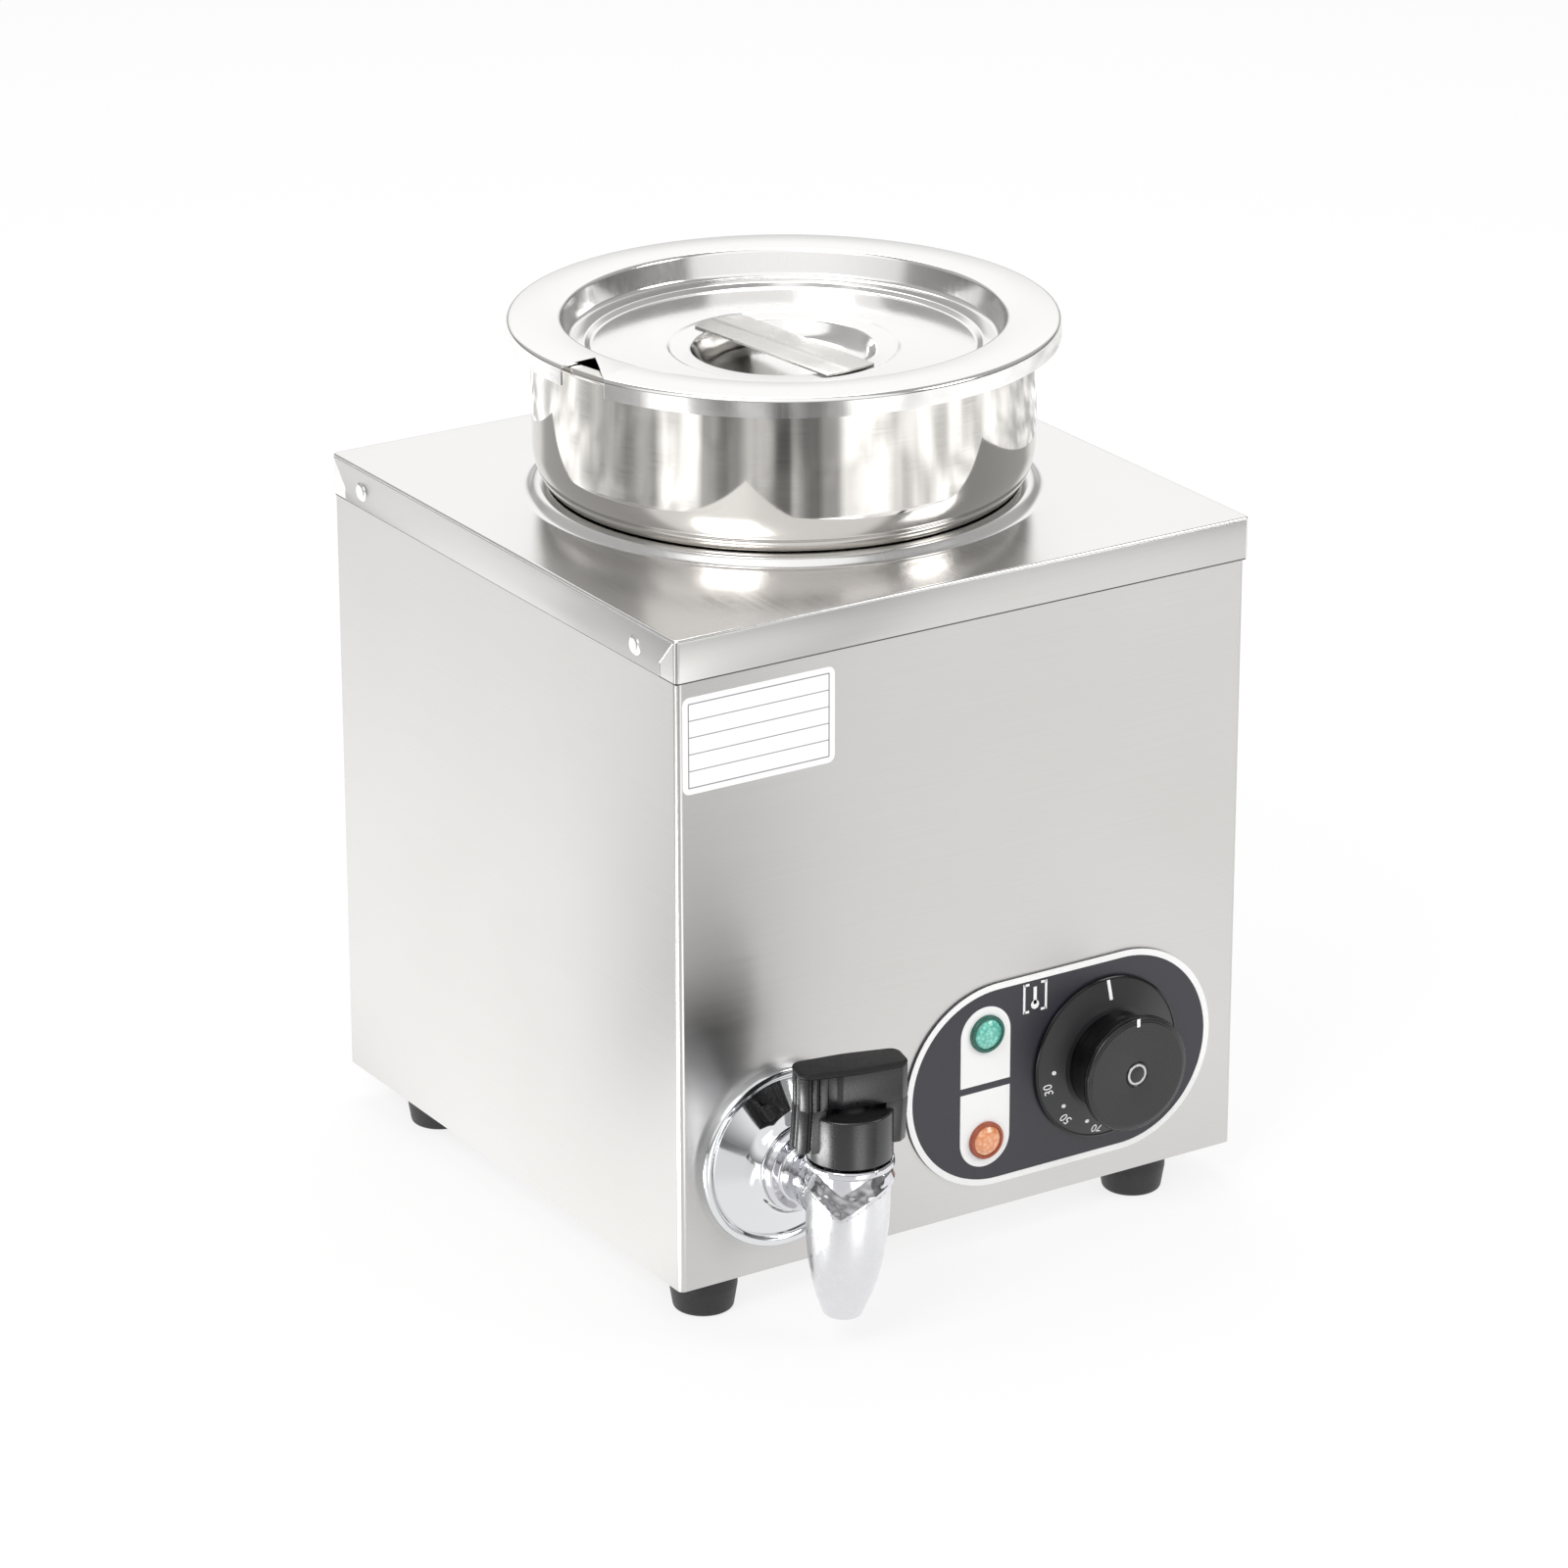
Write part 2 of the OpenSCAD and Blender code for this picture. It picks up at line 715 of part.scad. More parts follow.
// One half of the white pill, up = 1 for the upper one and -1 for the lower one
module lamp_label(up) {
    color(white) on_front(0, panel_z) difference() {
        translate([pill_x, 0, panel_t]) linear_extrude(print_t) intersection() {
            rotate(90) stadium(2 * pill_half, pill_r);
            translate([-20, up > 0 ? pill_split : -60 - pill_split]) square([40, 60]);
        }
        panel_holes();
    }
}

module lamp_label_upper() {
    lamp_label(1);
}

module lamp_label_lower() {
    lamp_label(-1);
}

module lens(up, tint) {
    color(tint) on_front(lamp_x, panel_z + up * lamp_gap) translate([0, 0, panel_t + print_t])
        rotate_extrude() polygon([[0, 0], [lens_r, 0], [lens_r, 1.4], [lens_r * 0.87, 2.5], [lens_r * 0.55, 3.3], [0, 3.7]]);
}

module bezel(up, tint) {
    color(tint) on_front(lamp_x, panel_z + up * lamp_gap) translate([0, 0, panel_t + print_t])
        rotate_extrude() polygon([[lens_r, 0], [bezel_r, 0], [bezel_r, 1], [bezel_r - 0.5, 1.8], [lens_r, 1.4]]);
}

module green_lens() {
    lens(1, "#6CCFBE");
}

module green_bezel() {
    bezel(1, "#1F4A3E");
}

module orange_lens() {
    lens(-1, "#E4A078");
}

module orange_bezel() {
    bezel(-1, "#7A3A24");
}

module lamp_bodies() {
    reach = 24;
    nut_h = 3;
    color(white) for (up = [-1, 1]) on_front(lamp_x, panel_z + up * lamp_gap) {
        translate([0, 0, -reach]) cylinder(r = lamp_hole_r, h = reach + panel_t + print_t);
        translate([0, 0, -sheet - nut_h]) cylinder(r = 8.5, h = nut_h);
        for (x = [-1, 1]) translate([x * 3, 0, -reach - 3]) cube([0.8, 4, 8], center = true);
    }
}

module thermostat_body() {
    body_w = 44;
    body_h = 36;
    back = -sheet - thermostat_depth;
    color("#D8D2C4") on_front(knob_x, panel_z) difference() {
        union() {
            translate([-body_w / 2, -body_h / 2, back]) cube([body_w, body_h, thermostat_depth]);
            translate([0, 0, -sheet]) cylinder(r = bushing_r, h = sheet + 1.4);
            for (x = [-1, 1]) translate([x * 12, 0, back - 3]) cube([0.8, 6, 8], center = true);
        }
        translate([0, 0, -20]) cylinder(r = shaft_r + running_gap, h = 30);
        for (x = [-1, 1]) translate([x * thermostat_screw_x, 0, -6]) cylinder(r = foot_screw_r, h = 10);
    }
}

module thermostat_screws() {
    color(polished) on_front(knob_x, panel_z) for (x = [-1, 1])
        translate([x * thermostat_screw_x, 0, panel_t]) screw(foot_screw_r, small_head_r, 1.2, 6);
}

module thermostat_shaft() {
    color(polished) on_front(knob_x, panel_z) translate([0, 0, -19]) cylinder(r = shaft_r, h = 37);
}

module dial_skirt() {
    color(black) on_front(knob_x, panel_z) rotate_extrude() polygon([
        [8, 3.2], [30.5, 3.2], [31.5, 1.7], [dial_r, 1.7], [dial_r, 2.4], [dial_r - 1, 3], [22, 6.6], [8, 6.6]
    ]);
}

module knob_grip() {
    flare = [
        [20.5, 6.6], [20.6, 9], [21.2, 13], [22.4, 17], [grip_r - 0.3, knob_reach - 3.2],
        [grip_r, knob_reach - 2.4], [grip_r, knob_reach - 1.4]
    ];
    color(black) on_front(knob_x, panel_z) difference() {
        rotate_extrude() polygon(concat(
            [[0, 2], [8, 2], [8, 6.6]], flare, [[0, knob_reach - 1.4]]
        ));
        cylinder(r = shaft_r, h = 18);
    }
}

module knob_cap() {
    color(black) on_front(knob_x, panel_z) translate([0, 0, knob_reach - 1.4]) difference() {
        rotate_extrude() polygon([
            [0, 0], [grip_r - 0.6, 0], [grip_r - 0.6, 0.5], [grip_r - 1.5, 1.3], [grip_r - 3, 1.4], [0, 1.4]
        ]);
        translate([0, 0, 1]) cylinder(r = 4.6, h = 2);
    }
}

module capillary() {
    rise = bulb_z - capillary_bend - capillary_z;
    color(copper) in_casing() translate([capillary_x, 0, 0]) {
        translate([0, capillary_y, capillary_z]) cylinder(r = capillary_r, h = rise);
        translate([0, capillary_y + capillary_bend, bulb_z - capillary_bend])
            rotate([0, -90, 0]) rotate([0, 0, -90])
                rotate_extrude(angle = 90) translate([capillary_bend, 0]) circle(capillary_r);
        translate([0, bulb_front, bulb_z]) rotate([90, 0, 0])
            cylinder(r = capillary_r, h = bulb_front - capillary_y - capillary_bend);
    }
}

module sensor_bulb() {
    color(copper) in_casing() translate([capillary_x, bulb_rear, bulb_z]) rotate([90, 0, 0])
        cylinder(r = bulb_r, h = bulb_rear - bulb_front);
}

module bulb_clip() {
    clip_w = 12;
    clip_l = 10;
    clip_y = -45;
    clip_top = tank_floor_z - sheet;
    color(steel) in_casing() difference() {
        translate([capillary_x - clip_w / 2, clip_y, bulb_z - bulb_r - 1])
            cube([clip_w, clip_l, clip_top - bulb_z + bulb_r + 1]);
        translate([capillary_x, 0, bulb_z]) rotate([90, 0, 0]) cylinder(r = bulb_r, h = 60);
    }
}

module cutout() {
    color("#3A3A3C") in_casing() translate([0, 85, tank_floor_z - sheet]) {
        translate([0, 0, -1.5]) cylinder(r = 11, h = 1.5);
        translate([0, 0, -9]) cylinder(r = 8, h = 7.5);
        for (x = [-1, 1]) translate([x * 5, 0, -12]) cube([0.8, 6, 8], center = true);
    }
}

// The seats of the five terminal screws
module at_terminals() {
    for (i = [-2:2]) translate([block_x + block_pitch * i, block_y - 6, block_top - 5]) children();
}

module terminal_block() {
    color(white) in_casing() difference() {
        translate([block_x - block_l / 2, block_y - block_w / 2, base_z + sheet])
            cube([block_l, block_w, block_h]);
        at_terminals() cylinder(r = 2, h = 6);
    }
}

module terminal_screws() {
    color(brass) in_casing() at_terminals() cylinder(r = 2, h = 4.4);
}

module earth_stud() {
    color(brass) in_casing() translate([earth_x, earth_y, 0]) {
        translate([0, 0, base_z - 0.4]) cylinder(r = earth_r, h = 18);
        translate([0, 0, base_z + sheet]) hex_nut(8, earth_r, 4);
    }
}

// Each run is a list of points chosen along the inside of the casing
module wire_loom() {
    $fn = 20;
    wire_r = 1.3;
    wire_y = block_y + 5;
    thermostat_x = knob_x - 12;
    thermostat_end = -half_w + 33.8;
    lamp_end = -half_w + 31;
    color("#C23B2E") in_casing() {
        rod_run([
            [44, wire_y, block_top], [44, wire_y, panel_z], [thermostat_x, wire_y, panel_z],
            [thermostat_x, thermostat_end, panel_z]
        ], wire_r);
        for (up = [-1, 1]) rod_run([
            [lamp_x + 3 * up, wire_y, block_top], [lamp_x + 3 * up, wire_y, panel_z + up * lamp_gap],
            [lamp_x + 3 * up, lamp_end, panel_z + up * lamp_gap]
        ], wire_r);
        for (s = [-1, 1]) rod_run([
            [s * element_x, element_y, pin_bottom_z], [s * element_x, element_y, 112],
            [14 + s * 16, wire_y, 96], [14 + s * 16, wire_y, block_top]
        ], wire_r);
    }
}

module cable_gland() {
    thread_l = 13;
    flange_h = 5;
    color(rubber) on_rear(gland_x, gland_z) difference() {
        union() {
            translate([0, 0, -thread_l]) cylinder(r = gland_body_r, h = thread_l + flange_h + 2);
            cylinder(d = 22, h = flange_h, $fn = 6);
            translate([0, 0, flange_h]) rotate_extrude() polygon([
                [0, 0], [10, 0], [10, 9], [9.2, 12], [7.4, 15.5], [6.2, gland_out - flange_h],
                [0, gland_out - flange_h]
            ]);
        }
        translate([0, 0, -thread_l - 1]) cylinder(r = gland_bore_r, h = gland_out + thread_l + 2);
    }
}

module gland_locknut() {
    color(rubber) on_rear(gland_x, gland_z) translate([0, 0, -sheet - 5]) hex_nut(20, gland_body_r, 5);
}

// Outer path of the pot from the middle of its bottom up to the rim
hollow_r = (pot_r - shoulder_r * (1 - cos(45)) - pot_lower_r) / (1 - cos(45));
hollow_z = shoulder_z - (shoulder_r + hollow_r) * sin(45);
pot_path = concat(
    [[0, pot_bottom_z]],
    arc([pot_lower_r - pot_corner_r, pot_bottom_z + pot_corner_r], pot_corner_r, -90, 0),
    arc([pot_lower_r + hollow_r, hollow_z], hollow_r, 180, 135, 4),
    arc([pot_r - shoulder_r, shoulder_z], shoulder_r, -37.5, 0, 5),
    [[pot_r, pot_rim_z]]
);

module pot() {
    bead_r = 2;
    bead_at = 105;
    color(polished) in_casing() rotate_extrude() {
        polygon(sheet_outline(pot_path, -pot_wall));
        translate([pot_r - pot_wall, pot_rim_z - 0.8]) square([bead_at - pot_r + pot_wall, 0.8]);
        translate([bead_at, pot_rim_z - bead_r]) circle(bead_r);
    }
}

// Visible path of the lid from its middle out to the lower edge of its rim
lid_path = [
    [0, lid_floor - dimple_depth], [26, lid_floor - dimple_depth], [30.5, lid_floor - dimple_depth + 1],
    [34, lid_floor - dimple_depth + 4], [35.6, lid_floor - 2.6], [dimple_r, lid_floor - 1],
    [dimple_r + 1.4, lid_floor - step_down], [dimple_step_r - 1, lid_floor - step_down],
    [dimple_step_r + 1, lid_floor], [76, lid_floor], [78.5, lid_floor + 1.2],
    [82.5, lid_floor + 1.8], [85, lid_floor + 3], [86.3, lid_floor + 5], [recess_r - 0.9, lid_z - 2.2],
    [recess_r - 0.4, lid_z - 0.7], [recess_r + 0.8, lid_z], [lid_r - 1.8, lid_z], [lid_r - 0.5, lid_z - 0.6],
    [lid_r, lid_z - 2], [lid_r, lid_z - 8]
];

module lid() {
    color(polished) in_casing() difference() {
        rotate_extrude() polygon(sheet_outline(lid_path, sheet));
        rotate([0, 0, 180 + notch_turn]) translate([notch_in_r, 0, lid_z - 12]) linear_extrude(20)
            polygon([[0, 0], [notch_reach, 0], notch_reach * [cos(notch_spread), sin(notch_spread)]]);
    }
}

module lid_strap() {
    strap_t = 1;
    color(polished) in_casing() translate([0, 0, lid_floor - step_down]) linear_extrude(strap_t)
        intersection() {
            circle(strap_r);
            rotate(strap_turn) square([strap_w, 3 * strap_r], center = true);
        }
}

casing_wrap();
rear_panel();
rear_screws();
base_plate();
base_screws();
top_cover();
cover_rivets();
foot_front_left();
foot_front_right();
foot_rear_left();
foot_rear_right();
foot_screws();
foot_nuts();
water_tank();
heating_element();
element_gaskets();
element_nuts();
element_pins();
drain_pipe();
drain_union();
tap_flange();
tap_seal();
tap_body();
tap_spout();
tap_locknut();
tap_bonnet();
tap_plug();
tap_handle();
tap_handle_pin();
panel_plate();
panel_border();
lamp_label_upper();
lamp_label_lower();
green_lens();
green_bezel();
orange_lens();
orange_bezel();
lamp_bodies();
thermostat_body();
thermostat_screws();
thermostat_shaft();
dial_skirt();
knob_grip();
knob_cap();
capillary();
sensor_bulb();
bulb_clip();
cutout();
terminal_block();
terminal_screws();
earth_stud();
wire_loom();
cable_gland();
gland_locknut();
pot();
lid();
lid_strap();
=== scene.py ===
"""Looks of a countertop sauce warmer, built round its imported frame."""

import json
import math

import bmesh
import bpy
from mathutils import Matrix, Vector


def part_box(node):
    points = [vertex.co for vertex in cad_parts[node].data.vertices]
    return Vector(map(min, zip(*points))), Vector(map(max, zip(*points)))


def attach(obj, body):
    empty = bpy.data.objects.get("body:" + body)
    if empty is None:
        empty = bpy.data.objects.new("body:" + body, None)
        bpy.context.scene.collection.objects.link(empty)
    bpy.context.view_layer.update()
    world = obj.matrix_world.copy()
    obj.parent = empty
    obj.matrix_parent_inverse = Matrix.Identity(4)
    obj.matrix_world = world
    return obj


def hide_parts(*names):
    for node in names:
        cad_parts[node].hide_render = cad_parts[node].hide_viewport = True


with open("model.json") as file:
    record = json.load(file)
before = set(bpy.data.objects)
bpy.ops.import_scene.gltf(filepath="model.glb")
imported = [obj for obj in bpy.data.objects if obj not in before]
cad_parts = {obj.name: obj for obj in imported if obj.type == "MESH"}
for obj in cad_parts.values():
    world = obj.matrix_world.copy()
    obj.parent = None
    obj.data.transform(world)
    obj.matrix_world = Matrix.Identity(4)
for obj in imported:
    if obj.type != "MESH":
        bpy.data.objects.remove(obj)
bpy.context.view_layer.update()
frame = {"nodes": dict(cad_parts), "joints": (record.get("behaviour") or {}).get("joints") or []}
nodes = frame["nodes"]
joints = {joint["name"]: joint for joint in frame["joints"]}
scene = bpy.context.scene

MM = 0.001
IN_MM = Matrix.Scale(MM, 4)
# Faces round the large spun pieces
STEPS = 128
# Points that are closer than this become one, in millimetres
TOUCH = 1e-4


def box_mm(name):
    """Lowest and highest corner of a node at rest, in millimetres."""
    return [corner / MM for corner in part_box(name)]


# Places taken from the frame, in millimetres
cover_lo, cover_hi = box_mm("top_cover")
casing_lo, casing_hi = box_mm("casing_wrap")
pot_lo, pot_hi = box_mm("pot")
lid_hi = box_mm("lid")[1]
collar_h = 4.0
cover_top = cover_hi.z - collar_h
axis_y = (cover_lo.y + cover_hi.y) / 2
front_y = casing_lo.y
rear_y = axis_y + (casing_hi.x - casing_lo.x) / 2
knob_at = Vector(joints["knob_turn"]["pos_m"]) / MM
tap_at = Vector(joints["tap_turn"]["pos_m"]) / MM
sheet_t = 0.8


# Shapes

def at(x, y, z, turn=Matrix.Identity(4)):
    """Places a shape that is drawn in millimetres."""
    return Matrix.Translation(Vector((x, y, z)) * MM) @ turn @ IN_MM


def rotated(degrees, axis="Z"):
    return Matrix.Rotation(math.radians(degrees), 4, axis)


def on_front(x, z, out=0.0):
    """Local Z out of the front wall, local Y up."""
    return at(x, front_y - out, z, rotated(90, "X"))


def rounded(corners, segments=5):
    """A path through (x, y, radius) corners, with a tangent arc at each corner that has a radius."""
    path = []
    for i, (x, y, radius) in enumerate(corners):
        here = Vector((x, y))
        if not radius:
            path.append(here)
            continue
        before = (Vector(corners[i - 1][:2]) - here).normalized()
        after = (Vector(corners[(i + 1) % len(corners)][:2]) - here).normalized()
        half = before.angle(after) / 2
        centre = here + (before + after).normalized() * (radius / math.sin(half))
        reach = radius / math.tan(half)
        first = here + before * reach - centre
        last = here + after * reach - centre
        start = math.atan2(first.y, first.x)
        sweep = (math.atan2(last.y, last.x) - start + math.pi) % (2 * math.pi) - math.pi
        for step in range(segments + 1):
            angle = start + sweep * step / segments
            path.append(centre + radius * Vector((math.cos(angle), math.sin(angle))))
    return path


def spin(bm, path, steps=STEPS, closed=False):
    """Spins a path of (radius, height) points round the upright axis."""
    verts = [bm.verts.new((r, 0, z)) for r, z in path]
    edges = [bm.edges.new(pair) for pair in zip(verts, verts[1:])]
    if closed:
        edges.append(bm.edges.new((verts[-1], verts[0])))
    bmesh.ops.spin(bm, geom=verts + edges, cent=(0, 0, 0), axis=(0, 0, 1), angle=2 * math.pi,
                   steps=steps, use_merge=True)
    bmesh.ops.remove_doubles(bm, verts=bm.verts, dist=TOUCH)


def lathe(path, steps=STEPS, closed=False):
    """A new shape, spun from a path."""
    bm = bmesh.new()
    spin(bm, path, steps, closed)
    return bm


def raise_faces(bm, faces, height):
    """Extrudes faces upwards."""
    grown = bmesh.ops.extrude_face_region(bm, geom=faces)["geom"]
    lifted = [v for v in grown if isinstance(v, bmesh.types.BMVert)]
    bmesh.ops.translate(bm, vec=(0, 0, height), verts=lifted)
    bmesh.ops.recalc_face_normals(bm, faces=bm.faces)


def soften(bm, width, segments, crease=25, clamp=True):
    """Rounds the edges whose faces meet at more than the crease angle, in degrees."""
    sharp = [e for e in bm.edges if e.calc_face_angle(0) > math.radians(crease)]
    bmesh.ops.bevel(bm, geom=sharp, offset=width, segments=segments, profile=0.5, affect="EDGES",
                    clamp_overlap=clamp, material=-1)


def slab(outline, height, edge=0.0, segments=3):
    """Extrudes an outline of (x, y) points upwards and rounds all its edges."""
    bm = bmesh.new()
    face = bm.faces.new([bm.verts.new((x, y, 0)) for x, y in outline])
    raise_faces(bm, [face], height)
    if edge:
        soften(bm, edge, segments)
    return bm


def gather(*shapes):
    """Puts several (bmesh, placing matrix) pairs into one bmesh."""
    whole = bmesh.new()
    for bm, place in shapes:
        bmesh.ops.transform(bm, matrix=place, verts=bm.verts)
        scratch = bpy.data.meshes.new("scratch")
        bm.to_mesh(scratch)
        bm.free()
        whole.from_mesh(scratch)
        bpy.data.meshes.remove(scratch)
    return whole


def shade(mesh, angle=32):
    mesh.shade_smooth()
    mesh.set_sharp_from_angle(angle=math.radians(angle))


def piece(name, bm, body, material, place=None, replaces=(), wall=0.0, angle=32):
    """Turns a bmesh into a finished piece that rides on a body. wall is a sheet thickness in millimetres."""
    if place is not None:
        bmesh.ops.transform(bm, matrix=place, verts=bm.verts)
    bmesh.ops.remove_doubles(bm, verts=bm.verts, dist=TOUCH * MM)
    bmesh.ops.recalc_face_normals(bm, faces=bm.faces)
    mesh = bpy.data.meshes.new(name)
    bm.to_mesh(mesh)
    bm.free()
    made = bpy.data.objects.new(name, mesh)
    scene.collection.objects.link(made)
    mesh.materials.append(material)
    if wall:
        sheet = made.modifiers.new("wall", "SOLIDIFY")
        sheet.thickness = abs(wall) * MM
        sheet.offset = -1 if wall > 0 else 1
        sheet.use_even_offset = True
        bake(made)
    shade(made.data, angle)
    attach(made, body)
    if replaces:
        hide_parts(*replaces)
    return made


def bake(made):
    """Applies a piece's modifiers to its mesh."""
    bpy.context.view_layer.update()
    ready = made.evaluated_get(bpy.context.evaluated_depsgraph_get())
    mesh = bpy.data.meshes.new_from_object(ready)
    made.modifiers.clear()
    made.data = mesh


def cut(made, cutter_bm, place):
    """Cuts a shape out of a finished piece."""
    bmesh.ops.transform(cutter_bm, matrix=place, verts=cutter_bm.verts)
    bmesh.ops.recalc_face_normals(cutter_bm, faces=cutter_bm.faces)
    mesh = bpy.data.meshes.new("cutter")
    cutter_bm.to_mesh(mesh)
    cutter_bm.free()
    cutter = bpy.data.objects.new("cutter", mesh)
    scene.collection.objects.link(cutter)
    hole = made.modifiers.new("cut", "BOOLEAN")
    hole.object = cutter
    hole.operation = "DIFFERENCE"
    bake(made)
    bpy.data.objects.remove(cutter)
    bpy.data.meshes.remove(mesh)
    shade(made.data)


# Materials

def paint(code):
    """Turns an sRGB hex code into a linear colour."""
    parts = [int(code[i:i + 2], 16) / 255 for i in (1, 3, 5)]
    return (*[p / 12.92 if p <= 0.04045 else ((p + 0.055) / 1.055) ** 2.4 for p in parts], 1)


def add(tree, kind, inputs=None, **settings):
    """Adds a node. An input is a value, another node's output, or a node, which gives its first output."""
    made = tree.nodes.new(kind)
    for name, value in settings.items():
        setattr(made, name, value)
    for key, value in (inputs or {}).items():
        if isinstance(value, bpy.types.Node):
            value = value.outputs[0]
        if isinstance(value, bpy.types.NodeSocket):
            tree.links.new(value, made.inputs[key])
        else:
            made.inputs[key].default_value = value
    return made


def new_material(name):
    """A material, its node tree, and the output that gives the place on the object."""
    material = bpy.data.materials.new(name)
    material.use_nodes = True
    tree = material.node_tree
    tree.nodes.clear()
    return material, tree, add(tree, "ShaderNodeTexCoord").outputs["Object"]


# Most values of a noise texture lie in this range
NOISE = {"From Min": 0.3, "From Max": 0.7}


def brushed_steel(name, light, dark, lines, rough, pull=None):
    """Stainless sheet, grade 304, belt-brushed in one direction: fine parallel lines of about 0.3 mm that
    stretch a reflection across the grain. The lines are drawn a little coarser, so that they show: lines
    is their size along each axis in millimetres. pull is the direction of the stretch."""
    material, tree, where = new_material(name)
    drawn_out = add(tree, "ShaderNodeMapping", {"Vector": where, "Scale": [1 / (s * MM) for s in lines]})
    fine = add(tree, "ShaderNodeTexNoise", {"Vector": drawn_out, "Scale": 1.0, "Detail": 2.0})
    handled = add(tree, "ShaderNodeTexNoise", {"Vector": where, "Scale": 1 / (120 * MM), "Detail": 3.0})
    both = add(tree, "ShaderNodeMath", {0: fine, 1: handled}, operation="ADD")
    share = add(tree, "ShaderNodeMapRange", {"Value": both, "From Min": 0.6, "From Max": 1.4})
    # A Mix node's colour sockets are numbers 6 and 7, and its colour result is number 2
    tint = add(tree, "ShaderNodeMix", {0: share, 6: paint(dark), 7: paint(light)}, data_type="RGBA")
    dull = add(tree, "ShaderNodeMapRange", {
        "Value": fine, **NOISE, "To Min": rough - 0.02, "To Max": rough + 0.03,
    })
    bump = add(tree, "ShaderNodeBump", {"Height": fine, "Strength": 0.1, "Distance": 0.01 * MM})
    shader = add(tree, "ShaderNodeBsdfPrincipled", {
        "Base Color": tint.outputs[2], "Metallic": 1.0, "Roughness": dull, "Normal": bump,
    })
    if pull:
        shader.inputs["Anisotropic"].default_value = 0.8
        across = add(tree, "ShaderNodeCombineXYZ", {"X": pull[0], "Y": pull[1], "Z": pull[2]})
        tree.links.new(across.outputs["Vector"], shader.inputs["Tangent"])
    add(tree, "ShaderNodeOutputMaterial", {"Surface": shader})
    return material


def polished_steel(name, tint, rough, lines=(40, 40, 0.7), wave=0.25, wave_size=45):
    """Spun or plated metal, polished: a clear reflection, bent a little by the spinning, and a haze of
    fine turning lines. wave and wave_size are the height and width of the bends in millimetres."""
    material, tree, where = new_material(name)
    drawn_out = add(tree, "ShaderNodeMapping", {"Vector": where, "Scale": [1 / (s * MM) for s in lines]})
    rings = add(tree, "ShaderNodeTexNoise", {"Vector": drawn_out, "Scale": 1.0, "Detail": 2.0})
    swell = add(tree, "ShaderNodeTexNoise", {"Vector": where, "Scale": 1 / (wave_size * MM), "Detail": 1.0})
    haze = add(tree, "ShaderNodeMapRange", {
        "Value": rings, **NOISE, "To Min": rough * 0.8, "To Max": rough * 1.3,
    })
    bend = add(tree, "ShaderNodeBump", {"Height": swell, "Strength": 1.0, "Distance": wave * MM})
    shader = add(tree, "ShaderNodeBsdfPrincipled", {
        "Base Color": paint(tint), "Metallic": 1.0, "Roughness": haze, "Normal": bend,
    })
    add(tree, "ShaderNodeOutputMaterial", {"Surface": shader})
    return material


def moulded_plastic(name, tint, rough, grit=0.6, depth=0.03, sheen=0.5):
    """Injection-moulded plastic with the fine spark texture of its tool. grit and depth are the texture's
    width and height in millimetres, and sheen is the specular level."""
    material, tree, where = new_material(name)
    pores = add(tree, "ShaderNodeTexNoise", {"Vector": where, "Scale": 1 / (grit * MM), "Detail": 3.0})
    dull = add(tree, "ShaderNodeMapRange", {
        "Value": pores, **NOISE, "To Min": rough - 0.04, "To Max": rough + 0.06,
    })
    bump = add(tree, "ShaderNodeBump", {"Height": pores, "Strength": 0.3, "Distance": depth * MM})
    shader = add(tree, "ShaderNodeBsdfPrincipled", {
        "Base Color": paint(tint), "Specular IOR Level": sheen, "Roughness": dull, "Normal": bump,
    })
    add(tree, "ShaderNodeOutputMaterial", {"Surface": shader})
    return material


def plain_metal(name, tint, rough, grit=1.5):
    """Small turned or drawn metal parts with slight handling marks, which are grit millimetres wide."""
    material, tree, where = new_material(name)
    marks = add(tree, "ShaderNodeTexNoise", {"Vector": where, "Scale": 1 / (grit * MM), "Detail": 2.0})
    dull = add(tree, "ShaderNodeMapRange", {
        "Value": marks, **NOISE, "To Min": rough - 0.05, "To Max": rough + 0.1,
    })
    shader = add(tree, "ShaderNodeBsdfPrincipled", {
        "Base Color": paint(tint), "Metallic": 1.0, "Roughness": dull,
    })
    add(tree, "ShaderNodeOutputMaterial", {"Surface": shader})
    return material


def lamp_lens(name, tint, glow):
    """Tinted polycarbonate lens over a reflector: clear, ribbed inside in cells of about 1.6 mm, brighter
    towards its middle."""
    material, tree, where = new_material(name)
    cells = add(tree, "ShaderNodeTexVoronoi", {"Vector": where, "Scale": 1 / (1.6 * MM)})
    share = add(tree, "ShaderNodeMapRange", {"Value": cells, "From Min": 0.1, "From Max": 0.7})
    shades = add(tree, "ShaderNodeMix", {0: share, 6: paint(glow), 7: paint(tint)}, data_type="RGBA")
    bump = add(tree, "ShaderNodeBump", {"Height": cells, "Strength": 0.5, "Distance": 0.2 * MM})
    shader = add(tree, "ShaderNodeBsdfPrincipled", {
        "Base Color": shades.outputs[2], "Roughness": 0.12, "IOR": 1.58, "Transmission Weight": 0.15,
        "Coat Weight": 0.5, "Emission Color": paint(glow), "Emission Strength": 0.12, "Normal": bump,
    })
    add(tree, "ShaderNodeOutputMaterial", {"Surface": shader})
    return material


